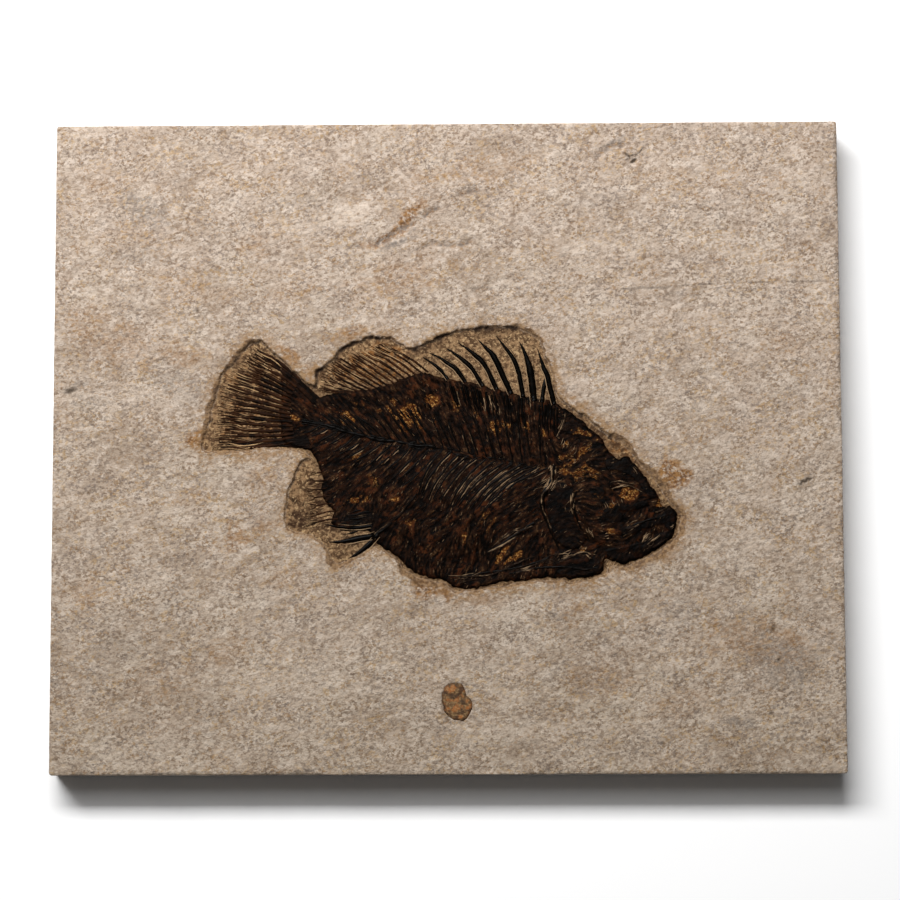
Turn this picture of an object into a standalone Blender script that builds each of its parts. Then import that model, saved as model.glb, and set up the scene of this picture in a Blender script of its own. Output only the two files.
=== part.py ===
# A spiny-finned fossil fish lying in the slab of limestone that it was found in.
# Metres, +Z up. The slab lies on its back face, the origin is the centre of that face,
# and the fish faces +X on the slab's upper face.

import math

import bmesh
import bpy
from mathutils import Matrix, Vector

MM = 0.001

# Slab
SLAB_LENGTH = 305 * MM
SLAB_WIDTH = 253 * MM
SLAB_THICKNESS = 18 * MM
SLAB_EDGE_ROUND = 0.9 * MM

# Hollow that was scraped out down to the fish
HOLLOW_DEPTH = 1.4 * MM
HOLLOW_WALL_RUN = 1.1 * MM
GAP = 0.3 * MM

# Fish: heights above its own underside
SKIN_THICKNESS = 0.7 * MM
SKIN_EDGE_ROUND = 0.2 * MM
RAY_LIFT = 0.05 * MM

# Second fossil
INCLUSION_CENTRE = (4.6, -98.4)
INCLUSION_HALF_SIZE = (5.6, 6.9)
INCLUSION_NARROWED = 0.1
INCLUSION_TURNS = 20
INCLUSION_SINK = 1.3 * MM
INCLUSION_PROUD = 0.45 * MM
INCLUSION_EDGE = 0.4 * MM

FACE_Z = SLAB_THICKNESS
HOLLOW_Z = FACE_Z - HOLLOW_DEPTH
FISH_Z = HOLLOW_Z + GAP
SKIN_Z = FISH_Z + SKIN_THICKNESS

# Bars that cross off the body stand on undersides a hair apart, in turns of so many steps
UNDERSIDE_STEP = 0.013 * MM
UNDERSIDE_STEPS = 5
CUTTER_REACH = 4 * MM

# Outlines and paths below are in millimetres from the slab's centre, (x, y).

# Foot of the hollow's wall, from the tail's lower corner over the back to the snout and home by the belly
HOLLOW_OUTLINE = [
    (-94.4, -0.6), (-92.6, 5.5), (-90.9, 13.5), (-89.0, 19.0), (-88.2, 24.0), (-86.2, 28.4),
    (-81.8, 33.2), (-77.4, 38.0), (-72.6, 41.2), (-69.4, 38.6), (-64.5, 33.6), (-59.0, 28.6),
    (-54.0, 24.2), (-51.0, 23.4), (-49.6, 29.4), (-46.8, 31.6), (-44.0, 33.2), (-41.6, 36.4),
    (-38.6, 38.8), (-34.0, 40.6), (-28.0, 42.0), (-22.0, 41.6), (-18.4, 39.4), (-15.2, 37.9),
    (-11.0, 38.4), (-5.0, 41.0), (0.5, 43.3), (7.0, 44.8), (14.0, 45.6), (20.5, 46.2),
    (26.0, 46.2), (30.5, 44.6), (34.6, 42.0), (37.4, 37.0), (40.0, 30.5), (42.2, 23.5),
    (44.6, 16.8), (49.0, 13.8), (54.5, 10.2), (58.6, 7.0), (61.5, 4.0), (66.0, 1.4),
    (70.0, -1.6), (74.5, -7.2), (79.5, -13.4), (83.4, -19.0), (88.4, -24.4), (90.2, -28.2),
    (89.4, -32.4), (87.8, -36.4), (83.0, -40.2), (76.5, -43.8), (70.8, -46.8), (66.6, -47.9),
    (62.6, -47.2), (60.6, -50.2), (56.0, -52.0), (48.0, -52.9), (38.0, -52.3), (30.0, -53.4),
    (20.0, -54.6), (12.0, -56.0), (4.0, -56.3), (-1.5, -53.6), (-8.0, -52.2), (-13.4, -50.2),
    (-17.0, -47.2), (-20.0, -43.4), (-24.0, -40.4), (-28.4, -39.6), (-33.0, -42.4), (-38.0, -44.8),
    (-41.4, -46.1), (-43.8, -44.6), (-46.4, -39.8), (-50.6, -35.8), (-56.0, -34.0), (-60.4, -32.8),
    (-62.1, -29.4), (-61.8, -24.0), (-60.8, -17.6), (-58.6, -10.8), (-56.2, -6.6), (-53.0, -5.4),
    (-52.6, -3.8), (-56.0, -2.2), (-62.0, -0.9), (-70.0, -1.0), (-80.0, -2.0), (-89.0, -2.3),
]

# Dark skin of head and trunk, the same way round, with the tail's root but no fins
SKIN_OUTLINE = [
    (-62.5, 1.0), (-64.0, 7.0), (-64.5, 14.0), (-64.0, 21.0), (-63.5, 28.5), (-61.0, 29.0),
    (-57.0, 25.6), (-53.0, 21.4), (-50.0, 19.0), (-46.0, 19.6), (-38.0, 21.2), (-30.0, 22.0),
    (-24.0, 23.6), (-17.0, 26.0), (-10.0, 27.8), (-4.0, 27.4), (3.0, 25.2), (10.0, 24.2),
    (18.0, 22.0), (25.0, 20.4), (32.0, 18.8), (40.0, 17.0), (44.6, 14.6), (49.0, 11.6),
    (54.0, 7.6), (58.6, 3.8), (61.6, -1.0), (64.4, -5.0), (66.6, -6.0), (68.8, -4.4),
    (71.0, -5.6), (75.0, -10.6), (78.4, -15.2), (81.4, -19.8), (82.4, -23.0), (84.6, -24.8),
    (86.2, -23.4), (88.6, -26.8), (88.4, -31.0), (86.8, -35.6), (83.0, -38.8), (77.4, -42.4),
    (71.4, -45.2), (67.4, -46.6), (64.4, -45.2), (60.8, -44.8), (59.6, -49.2), (55.0, -51.0),
    (48.0, -51.8), (38.0, -51.2), (30.0, -52.2), (20.0, -53.0), (12.0, -54.8), (4.0, -55.2),
    (-0.5, -52.4), (-8.0, -51.0), (-13.0, -49.0), (-17.0, -45.2), (-21.0, -41.4), (-26.0, -38.6),
    (-29.6, -34.2), (-34.0, -32.6), (-40.6, -32.2), (-45.0, -29.8), (-43.4, -25.8), (-47.0, -21.4),
    (-48.4, -17.4), (-47.6, -12.6), (-49.4, -7.8), (-51.4, -3.2), (-56.0, -1.0),
]

# Swellings of the crushed body: centre x, centre y, half length, half width, turn in degrees, crown in mm
SWELLINGS = {
    "trunk": (4.0, -15.0, 42.0, 31.0, 0.0, 1.65),
    "head": (62.0, -24.0, 25.0, 16.5, -34.0, 1.75),
    "peduncle": (-30.0, 3.5, 26.0, 14.0, 4.0, 1.25),
}

# A swelling's underside, as a share of its crown above the fish's own
SWELLING_CUT = 0.11
SWELLING_SIDES = 28

# Backbone from the tail's root to the skull
BACKBONE = [
    (-56.0, 9.5), (-46.0, 7.6), (-36.0, 4.6), (-24.0, 2.0), (-10.0, 0.0), (6.0, -3.6),
    (22.0, -7.2), (40.0, -9.2),
]
VERTEBRAE = 24
VERTEBRA_RADII = (0.75, 1.35)
BACKBONE_TAPER = 0.3

# Spines of the back fin: tip first, base last, with the widest half width
BACK_SPINES = [
    ([(-10.0, 35.0), (-5.8, 32.3), (-2.5, 29.6), (0.6, 25.6)], 0.65),
    ([(-6.5, 36.0), (-2.5, 34.2), (0.8, 31.7), (4.2, 29.2), (7.4, 24.6)], 0.8),
    ([(-0.8, 38.3), (2.9, 36.0), (6.7, 32.9), (10.0, 29.6), (14.2, 23.0)], 0.85),
    ([(4.6, 40.0), (8.3, 37.5), (11.7, 34.6), (15.0, 30.8), (19.6, 21.6)], 0.85),
    ([(12.3, 41.3), (15.0, 38.3), (17.9, 35.4), (20.0, 31.3), (25.2, 19.8)], 0.95),
    ([(19.4, 42.5), (21.7, 39.6), (24.2, 36.3), (26.3, 32.9), (28.2, 27.6), (29.8, 18.6)], 0.8),
    ([(28.1, 40.6), (30.0, 37.1), (31.5, 32.9), (32.5, 29.2), (33.1, 25.4), (34.0, 17.0)], 1.2),
    ([(35.4, 37.5), (36.7, 33.3), (37.9, 29.6), (39.2, 26.3), (41.8, 15.6)], 0.8),
    ([(38.6, 27.0), (37.8, 22.6), (37.0, 16.4)], 0.8),
]

# Spines of the anal fin
ANAL_SPINES = [
    ([(-45.2, -37.4), (-40.0, -37.1), (-34.6, -36.2), (-27.6, -34.9)], 1.05),
    ([(-37.9, -43.8), (-34.4, -41.8), (-30.6, -38.9), (-26.4, -34.6)], 0.95),
    ([(-47.4, -30.4), (-42.0, -31.4), (-36.0, -31.9), (-29.0, -31.2)], 0.7),
]

# Fans of soft rays: bases and tips as short paths, number of rays, half width at the base and tip
RAY_FANS = {
    "tail": ([(-60.5, 1.4), (-61.5, 7.0), (-62.5, 14.0), (-61.5, 21.0), (-57.5, 25.4)],
             [(-90.6, -0.6), (-89.6, 7.0), (-87.4, 15.0), (-84.6, 26.0), (-73.4, 37.6)], 17, 0.62, 0.42),
    "back": ([(-39.0, 20.4), (-30.0, 21.0), (-22.0, 23.6), (-12.0, 27.0), (-6.0, 27.2)],
             [(-48.2, 26.4), (-44.4, 30.8), (-39.0, 35.6), (-30.0, 39.4), (-17.0, 36.4)], 13, 0.58, 0.36),
    "anal": ([(-46.4, -10.0), (-46.0, -18.0), (-43.6, -24.0), (-42.0, -28.4)],
             [(-57.4, -10.4), (-59.4, -18.0), (-60.4, -25.0), (-59.6, -31.2)], 8, 0.5, 0.3),
}
RAY_FLARE = 0.12

# Height of a bone's section as a share of its width
FLATTENED = 0.62
BONE_HEIGHT = 0.7
SPINE_HEIGHT = 0.8
# A spine's point, as a share of its widest place
SPINE_POINT = 0.16
SPINE_SHOULDER = 0.62
TAIL_EDGE_TAPER = 0.6
# Bevel resolutions of the bars, which give four and six sides
SLIM = 0
STOUT = 1

# Thick leading edges of the tail, root first, with the widest half width
TAIL_EDGES = [
    ([(-50.5, 17.6), (-56.0, 23.0), (-62.0, 28.8), (-67.0, 32.8), (-73.4, 37.4)], 1.5),
    ([(-53.0, 0.6), (-62.0, 1.4), (-74.0, 1.1), (-82.0, 0.2), (-89.0, -0.9)], 1.25),
]

# Ribs: number, first and last place along the backbone, lengths and slopes in degrees below straight back
RIBS = 11
RIB_PLACES = (0.93, 0.58)
RIB_LENGTHS = (27.0, 21.0)
RIB_SLOPES = (30.0, 52.0)
RIB_DROOP = 14.0
RIB_HALF_WIDTH = 0.5

# Spines that stand on the backbone: number, places, lengths and lean from upright towards the tail
NEURAL_SPINES = 20
NEURAL_PLACES = (0.94, 0.2)
NEURAL_LENGTHS = (20.0, 11.0)
NEURAL_LEANS = (6.0, 52.0)
# Spines that hang below it behind the ribs
HAEMAL_SPINES = 12
HAEMAL_PLACES = (0.55, 0.12)
HAEMAL_LENGTHS = (22.0, 8.0)
HAEMAL_LEANS = (40.0, 62.0)
SPINE_HALF_WIDTH = 0.42

# Single bones of the head, shoulder and belly: path and half widths at the first end, between and at the last
SINGLE_BONES = {
    "shoulder": (
        [(41.6, -8.0), (40.4, -14.0), (37.2, -19.6), (37.0, -25.0), (39.6, -32.0), (46.0, -44.6)],
        (0.8, 1.3, 0.7),
    ),
    "cheek_edge": (
        [(50.4, -17.0), (48.8, -24.0), (50.8, -31.0), (54.8, -37.4), (61.0, -40.6)],
        (0.6, 1.0, 0.7),
    ),
    "upper_jaw": (
        [(66.4, -33.6), (72.0, -31.4), (78.0, -29.4), (84.0, -27.6), (87.4, -26.8)],
        (0.9, 1.1, 0.8),
    ),
    "lower_jaw": (
        [(62.0, -41.4), (69.0, -40.6), (76.0, -38.6), (82.0, -35.8), (86.6, -32.8)],
        (0.9, 1.3, 0.8),
    ),
    "brow": ([(62.4, -10.6), (68.0, -8.6), (73.4, -12.0), (78.0, -17.4), (81.0, -21.8)], (0.8, 1.1, 0.7)),
    "throat": ([(60.0, -47.4), (52.0, -48.4), (43.0, -47.2), (34.0, -47.8), (24.0, -50.0)], (0.6, 0.9, 0.5)),
    "breast_spine": ([(33.8, -30.4), (27.4, -34.2), (21.6, -38.0), (15.6, -41.6)], (0.7, 0.9, 0.3)),
    "belly_ray": ([(39.0, -43.8), (31.0, -46.6), (20.0, -48.8), (8.0, -50.6)], (0.5, 0.6, 0.4)),
    "anal_strut": (
        [(-27.6, -35.0), (-22.0, -30.8), (-17.0, -25.6), (-12.6, -20.6), (-10.0, -15.4)],
        (1.0, 0.8, 0.4),
    ),
}
EYE_CENTRE = (68.4, -18.6)
EYE_HALF_SIZE = (6.6, 4.6)
EYE_RIM_HALF_WIDTH = 0.65
EYE_TURNS = 14
GILL_COVER = [
    (40.6, -15.6), (46.0, -15.0), (49.4, -19.0), (48.8, -25.0), (50.0, -31.0), (53.6, -37.0),
    (49.0, -40.4), (43.4, -38.6), (40.2, -31.6), (38.6, -24.0),
]
GILL_COVER_PROUD = 0.65 * MM

# Missing stone: x, y, half length, half width, depth, in millimetres
CHIPS = [
    (73.2, 111.6, 2.6, 2.2, 1.1),
    (-149.0, -127.2, 3.6, 2.0, 8.0),
    (152.9, 120.2, 2.0, 3.0, 7.0),
]

STONE_COLOUR = (0.52, 0.41, 0.32, 1.0)
BONE_COLOUR = (0.045, 0.026, 0.016, 1.0)
INCLUSION_COLOUR = (0.15, 0.075, 0.03, 1.0)


def clear_scene():
    for old in list(bpy.data.objects):
        bpy.data.objects.remove(old, do_unlink=True)


def new_collection(name):
    made = bpy.data.collections.new(name)
    bpy.context.scene.collection.children.link(made)
    return made


def new_material(name, colour, roughness):
    made = bpy.data.materials.new(name)
    made.use_nodes = True
    shader = made.node_tree.nodes["Principled BSDF"]
    shader.inputs["Base Color"].default_value = colour
    shader.inputs["Roughness"].default_value = roughness
    shader.inputs["Metallic"].default_value = 0.0
    made.diffuse_color = colour
    return made


def new_object(name, mesh, collection):
    made = bpy.data.objects.new(name, mesh)
    collection.objects.link(made)
    return made


def mesh_from_curve(curve, name, collection):
    """Turns a curve object into a mesh object with its caps welded on."""
    bpy.context.view_layer.update()
    evaluated = curve.evaluated_get(bpy.context.evaluated_depsgraph_get())
    mesh = bpy.data.meshes.new_from_object(evaluated)
    shape = bmesh.new()
    shape.from_mesh(mesh)
    bmesh.ops.remove_doubles(shape, verts=shape.verts, dist=0.002 * MM)
    bmesh.ops.recalc_face_normals(shape, faces=shape.faces)
    shape.to_mesh(mesh)
    shape.free()
    made = new_object(name, mesh, collection)
    made.matrix_world = curve.matrix_world
    bpy.data.objects.remove(curve, do_unlink=True)
    return made


def flat_plate(name, outline, low_z, high_z, edge, collection):
    """A closed plate on an outline in millimetres. Its walls lean out by edge from both faces."""
    data = bpy.data.curves.new(name, "CURVE")
    data.dimensions = "2D"
    data.fill_mode = "BOTH"
    data.extrude = (high_z - low_z) / 2 - edge
    data.bevel_depth = edge
    data.bevel_resolution = 0
    spline = data.splines.new("POLY")
    spline.points.add(len(outline) - 1)
    for point, (x, y) in zip(spline.points, outline):
        point.co = (x * MM, y * MM, 0, 1)
    spline.use_cyclic_u = True
    curve = new_object(name + "_curve", data, collection)
    curve.location.z = (high_z + low_z) / 2
    return mesh_from_curve(curve, name, collection)


def along(path, share):
    """The point at a share of a path's length, on straight runs between its points."""
    points = [Vector(point) for point in path]
    runs = [(b - a).length for a, b in zip(points, points[1:])]
    left = min(max(share, 0.0), 1.0) * sum(runs)
    for (a, b), run in zip(zip(points, points[1:]), runs):
        if left <= run:
            return a.lerp(b, left / run)
        left -= run
    return points[-1]


def between(pair, share):
    return pair[0] + (pair[1] - pair[0]) * share


def oval(centre, half_size, turns, narrowed=0.0):
    """Points round an oval, which narrows towards its upper end."""
    angles = [2 * math.pi * index / turns for index in range(turns)]
    return [
        (
            centre[0] + half_size[0] * math.cos(angle) * (1 - narrowed * math.sin(angle)),
            centre[1] + half_size[1] * math.sin(angle),
        )
        for angle in angles
    ]


def body_z(x, y):
    """Height of the body's surface over a place in millimetres."""
    height = SKIN_Z
    for centre_x, centre_y, half_length, half_width, turn, crown in SWELLINGS.values():
        cos_turn = math.cos(math.radians(turn))
        sin_turn = math.sin(math.radians(turn))
        along_x = (x - centre_x) * cos_turn + (y - centre_y) * sin_turn
        along_y = (y - centre_y) * cos_turn - (x - centre_x) * sin_turn
        inside = 1 - (along_x / half_length) ** 2 - (along_y / half_width) ** 2
        if inside > 0:
            height = max(height, FISH_Z + crown * MM * math.sqrt(inside))
    return height


class BoneBuilder:
    """Collects tapered bars as one mesh, which a Boolean then joins to the body."""

    def __init__(self, collection):
        self.collection = collection
        self.shapes = []

    def bar(self, path, half_widths, section, flat=FLATTENED, on_body=False, closed=False):
        """A bar along a path in millimetres. Off the body it is half round, on a flat underside."""
        data = bpy.data.curves.new("bar", "CURVE")
        data.dimensions = "3D"
        data.bevel_depth = MM
        data.bevel_resolution = section
        data.use_fill_caps = not closed
        data.twist_mode = "Z_UP"
        spline = data.splines.new("POLY")
        spline.points.add(len(path) - 1)
        for point, (x, y), radius in zip(spline.points, path, half_widths):
            height = (body_z(x, y) - FISH_Z) / flat if on_body else 0.0
            point.co = (x * MM, y * MM, height, 1)
            point.radius = radius
        spline.use_cyclic_u = closed
        curve = new_object("bar_curve", data, self.collection)
        made = mesh_from_curve(curve, "bar", self.collection)
        shape = bmesh.new()
        shape.from_mesh(made.data)
        if not on_body:
            everything = shape.verts[:] + shape.edges[:] + shape.faces[:]
            bmesh.ops.bisect_plane(shape, geom=everything, plane_no=(0, 0, 1), clear_inner=True)
            rim = [edge for edge in shape.edges if edge.is_boundary]
            bmesh.ops.contextual_create(shape, geom=rim)
        step = len(self.shapes) % UNDERSIDE_STEPS
        lift = FISH_Z if on_body else FISH_Z + RAY_LIFT + UNDERSIDE_STEP * step
        stretch = Matrix.Diagonal((1, 1, flat, 1))
        bmesh.ops.transform(shape, matrix=Matrix.Translation((0, 0, lift)) @ stretch, verts=shape.verts)
        shape.to_mesh(made.data)
        shape.free()
        self.shapes.append(made)

    def blade(self, path, widest):
        """A spine that comes to a point at the first end and keeps most of its width at the other."""
        last = len(path) - 1
        swells = [math.sin(math.pi * SPINE_SHOULDER * index / last) for index in range(last + 1)]
        widths = [widest * (SPINE_POINT + (1 - SPINE_POINT) * swell) for swell in swells]
        self.bar(path, widths, STOUT, flat=SPINE_HEIGHT)

    def fan(self, bases, tips, count, base_width, tip_width):
        """Soft rays between two paths, which spread a little as they go."""
        for index in range(count):
            share = index / (count - 1)
            base = along(bases, share)
            tip = along(tips, share)
            across = Vector((base.y - tip.y, tip.x - base.x)) * RAY_FLARE * (0.5 - share)
            middle = (base + tip + across) / 2
            widths = (base_width, (base_width + tip_width) / 2, tip_width)
            self.bar([base, middle, tip], widths, SLIM)

    def joined(self):
        """All the bars as one mesh object, overlapping where they meet."""
        whole = bmesh.new()
        for made in self.shapes:
            whole.from_mesh(made.data)
            bpy.data.objects.remove(made, do_unlink=True)
        mesh = bpy.data.meshes.new("bones")
        whole.to_mesh(mesh)
        whole.free()
        return new_object("bones", mesh, self.collection)


def swelling(name, size, collection):
    """The upper half of a flattened ball, standing on the fish's underside."""
    centre_x, centre_y, half_length, half_width, turn, crown = size
    shape = bmesh.new()
    sides = SWELLING_SIDES
    bmesh.ops.create_uvsphere(shape, u_segments=sides, v_segments=sides // 2, radius=1.0)
    everything = shape.verts[:] + shape.edges[:] + shape.faces[:]
    cut = (0, 0, SWELLING_CUT)
    bmesh.ops.bisect_plane(shape, geom=everything, plane_co=cut, plane_no=(0, 0, 1), clear_inner=True)
    rim = [edge for edge in shape.edges if edge.is_boundary]
    bmesh.ops.contextual_create(shape, geom=rim)
    place = Matrix.Translation((centre_x * MM, centre_y * MM, FISH_Z))
    place = place @ Matrix.Rotation(math.radians(turn), 4, "Z")
    place = place @ Matrix.Diagonal((half_length * MM, half_width * MM, crown * MM, 1))
    bmesh.ops.transform(shape, matrix=place, verts=shape.verts)
    bmesh.ops.recalc_face_normals(shape, faces=shape.faces)
    mesh = bpy.data.meshes.new(name)
    shape.to_mesh(mesh)
    shape.free()
    return new_object(name, mesh, collection)


def hide_helper(obj):
    obj.hide_render = True
    obj.display_type = "WIRE"


def boolean(obj, other, operation, overlaps_itself=False):
    hide_helper(other)
    modifier = obj.modifiers.new(operation.lower() + "_" + other.name, "BOOLEAN")
    modifier.operation = operation
    modifier.solver = "EXACT"
    modifier.object = other
    modifier.use_self = overlaps_itself


def backbone_bones(bones):
    """Backbone with its waisted vertebrae, the spines on and under it, and the ribs."""
    count = VERTEBRAE * 2
    path = [along(BACKBONE, index / count) for index in range(count + 1)]
    tapers = [1 - BACKBONE_TAPER * (1 - index / count) for index in range(count + 1)]
    widths = [VERTEBRA_RADII[(index + 1) % 2] * taper for index, taper in enumerate(tapers)]
    bones.bar(path, widths, STOUT, flat=BONE_HEIGHT, on_body=True)
    for index in range(NEURAL_SPINES):
        share = index / (NEURAL_SPINES - 1)
        root = along(BACKBONE, between(NEURAL_PLACES, share))
        lean = math.radians(between(NEURAL_LEANS, share))
        reach = Vector((-math.sin(lean), math.cos(lean))) * between(NEURAL_LENGTHS, share)
        widths = (SPINE_HALF_WIDTH * 1.2, SPINE_HALF_WIDTH, SPINE_HALF_WIDTH * 0.7)
        bones.bar([root, root + reach / 2, root + reach], widths, SLIM, on_body=True)
    for index in range(HAEMAL_SPINES):
        share = index / (HAEMAL_SPINES - 1)
        root = along(BACKBONE, between(HAEMAL_PLACES, share))
        lean = math.radians(between(HAEMAL_LEANS, share))
        reach = Vector((-math.sin(lean), -math.cos(lean))) * between(HAEMAL_LENGTHS, share)
        widths = (SPINE_HALF_WIDTH * 1.2, SPINE_HALF_WIDTH, SPINE_HALF_WIDTH * 0.7)
        bones.bar([root, root + reach / 2, root + reach], widths, SLIM, on_body=True)
    for index in range(RIBS):
        share = index / (RIBS - 1)
        point = along(BACKBONE, between(RIB_PLACES, share))
        slope = between(RIB_SLOPES, share)
        path = [point]
        for step in range(3):
            angle = math.radians(slope + RIB_DROOP * (step / 2 - 0.5))
            point = point + Vector((-math.cos(angle), -math.sin(angle))) * between(RIB_LENGTHS, share) / 3
            path.append(point)
        widths = (RIB_HALF_WIDTH, RIB_HALF_WIDTH * 1.2, RIB_HALF_WIDTH, RIB_HALF_WIDTH * 0.6)
        bones.bar(path, widths, SLIM, on_body=True)


def head_bones(bones):
    for path, (first, middle, last) in SINGLE_BONES.values():
        steps = len(path) - 1
        widths = [first, *[middle] * (steps - 1), last]
        bones.bar(path, widths, STOUT, flat=BONE_HEIGHT, on_body=True)
    rim = oval(EYE_CENTRE, EYE_HALF_SIZE, EYE_TURNS)
    bones.bar(rim, [EYE_RIM_HALF_WIDTH] * EYE_TURNS, SLIM, flat=SPINE_HEIGHT, on_body=True, closed=True)


def build_fish(parts, helpers, material):
    fish = flat_plate("fossil_fish", SKIN_OUTLINE, FISH_Z, SKIN_Z, SKIN_EDGE_ROUND, parts)
    for name, size in SWELLINGS.items():
        boolean(fish, swelling(name, size, helpers), "UNION")
    cover_top = body_z(*GILL_COVER[1]) + GILL_COVER_PROUD
    cover = flat_plate("gill_cover", GILL_COVER, FISH_Z + RAY_LIFT, cover_top, SKIN_EDGE_ROUND, helpers)
    boolean(fish, cover, "UNION")
    bones = BoneBuilder(helpers)
    backbone_bones(bones)
    head_bones(bones)
    for path, widest in BACK_SPINES:
        bones.blade(path, widest)
    for path, widest in ANAL_SPINES:
        bones.blade(path, widest)
    for bases, tips, count, base_width, tip_width in RAY_FANS.values():
        bones.fan(bases, tips, count, base_width, tip_width)
    for path, widest in TAIL_EDGES:
        last = len(path) - 1
        widths = [widest * (1 - TAIL_EDGE_TAPER * (index / last) ** 2) for index in range(last + 1)]
        bones.bar(path, widths, STOUT, flat=BONE_HEIGHT)
    boolean(fish, bones.joined(), "UNION", overlaps_itself=True)
    fish.data.materials.append(material)


def build_inclusion(parts, material):
    outline = oval(INCLUSION_CENTRE, INCLUSION_HALF_SIZE, INCLUSION_TURNS, INCLUSION_NARROWED)
    low_z = FACE_Z - INCLUSION_SINK + GAP
    high_z = FACE_Z + INCLUSION_PROUD
    inclusion = flat_plate("oval_inclusion", outline, low_z, high_z, INCLUSION_EDGE, parts)
    inclusion.data.materials.append(material)


def build_slab(parts, helpers, material):
    shape = bmesh.new()
    bmesh.ops.create_cube(shape, size=1.0)
    place = Matrix.Translation((0, 0, SLAB_THICKNESS / 2))
    place = place @ Matrix.Diagonal((SLAB_LENGTH, SLAB_WIDTH, SLAB_THICKNESS, 1))
    bmesh.ops.transform(shape, matrix=place, verts=shape.verts)
    mesh = bpy.data.meshes.new("limestone_slab")
    shape.to_mesh(mesh)
    shape.free()
    slab = new_object("limestone_slab", mesh, parts)
    rounding = slab.modifiers.new("rounded_edges", "BEVEL")
    rounding.width = SLAB_EDGE_ROUND
    rounding.segments = 2
    hollow_top = FACE_Z + CUTTER_REACH
    hollow = flat_plate("hollow_cutter", HOLLOW_OUTLINE, HOLLOW_Z, hollow_top, HOLLOW_WALL_RUN, helpers)
    boolean(slab, hollow, "DIFFERENCE")
    half_size = [size + (INCLUSION_EDGE + GAP) / MM for size in INCLUSION_HALF_SIZE]
    pocket_outline = oval(INCLUSION_CENTRE, half_size, INCLUSION_TURNS, INCLUSION_NARROWED)
    pocket_z = FACE_Z - INCLUSION_SINK
    pocket = flat_plate("pocket_cutter", pocket_outline, pocket_z, FACE_Z + CUTTER_REACH, 0.0, helpers)
    boolean(slab, pocket, "DIFFERENCE")
    for index, (x, y, half_length, half_width, depth) in enumerate(CHIPS):
        chip = bmesh.new()
        bmesh.ops.create_icosphere(chip, subdivisions=2, radius=1.0)
        place = Matrix.Translation((x * MM, y * MM, FACE_Z))
        place = place @ Matrix.Diagonal((half_length * MM, half_width * MM, depth * MM, 1))
        bmesh.ops.transform(chip, matrix=place, verts=chip.verts)
        chip_mesh = bpy.data.meshes.new(f"chip_{index + 1}")
        chip.to_mesh(chip_mesh)
        chip.free()
        boolean(slab, new_object(f"chip_{index + 1}", chip_mesh, helpers), "DIFFERENCE")
    slab.data.materials.append(material)


def main():
    clear_scene()
    parts = new_collection("priscacara_fossil_slab")
    helpers = new_collection("helper_shapes")
    build_slab(parts, helpers, new_material("buff_limestone", STONE_COLOUR, 0.9))
    build_fish(parts, helpers, new_material("fossil_bone", BONE_COLOUR, 0.45))
    build_inclusion(parts, new_material("brown_inclusion", INCLUSION_COLOUR, 0.7))


main()
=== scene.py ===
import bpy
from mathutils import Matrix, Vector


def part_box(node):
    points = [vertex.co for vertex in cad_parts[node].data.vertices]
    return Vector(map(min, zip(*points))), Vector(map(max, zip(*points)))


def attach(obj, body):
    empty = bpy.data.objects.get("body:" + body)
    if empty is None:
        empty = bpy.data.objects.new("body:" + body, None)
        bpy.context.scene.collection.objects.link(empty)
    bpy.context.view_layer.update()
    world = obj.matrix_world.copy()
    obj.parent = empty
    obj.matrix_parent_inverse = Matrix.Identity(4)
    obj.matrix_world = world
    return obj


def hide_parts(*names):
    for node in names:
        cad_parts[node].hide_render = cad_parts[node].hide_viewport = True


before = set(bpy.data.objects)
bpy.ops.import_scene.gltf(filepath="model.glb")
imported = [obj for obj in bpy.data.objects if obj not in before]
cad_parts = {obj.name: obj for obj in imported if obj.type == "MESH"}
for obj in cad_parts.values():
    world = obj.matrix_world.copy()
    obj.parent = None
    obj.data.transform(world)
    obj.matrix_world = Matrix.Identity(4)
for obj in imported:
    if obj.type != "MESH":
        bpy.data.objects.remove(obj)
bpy.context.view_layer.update()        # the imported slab, fish and oval fossil

import math

import bpy
import numpy as np
from mathutils import Euler, Matrix, Vector
from mathutils.geometry import delaunay_2d_cdt

# Everything below is in millimetres until a mesh is made.
mm = 0.001
scene = bpy.context.scene
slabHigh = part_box("limestone_slab")[1]
halfLength = slabHigh.x / mm
halfWidth = slabHigh.y / mm
faceZ = slabHigh.z / mm
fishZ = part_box("fossil_fish")[0].z / mm        # underside of the fish, just clear of the hollow's floor


def linear(text):  # sRGB hex to linear colour
    channels = [int(text[index:index + 2], 16) / 255 for index in (1, 3, 5)]
    return [c / 12.92 if c <= 0.04045 else ((c + 0.055) / 1.055) ** 2.4 for c in channels] + [1.0]


def latticeValue(ix, iy, seed):
    mixed = (ix * 374761393 + iy * 668265263 + seed * 2147483629) & 0xffffffff
    mixed = ((mixed ^ (mixed >> 13)) * 1274126177) & 0xffffffff
    return ((mixed ^ (mixed >> 16)) & 0xffff) / 32767.5 - 1


def noise(x, y, size, seed):  # smooth value noise from -1 to 1, with lumps about size across
    turn = 0.6 + seed * 1.7
    u = (x * math.cos(turn) - y * math.sin(turn)) / size
    v = (x * math.sin(turn) + y * math.cos(turn)) / size
    ix, iy = np.floor(u).astype(np.int64), np.floor(v).astype(np.int64)
    fx, fy = u - ix, v - iy
    fx, fy = fx * fx * (3 - 2 * fx), fy * fy * (3 - 2 * fy)
    low = latticeValue(ix, iy, seed) * (1 - fx) + latticeValue(ix + 1, iy, seed) * fx
    high = latticeValue(ix, iy + 1, seed) * (1 - fx) + latticeValue(ix + 1, iy + 1, seed) * fx
    return low * (1 - fy) + high * fy


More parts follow.
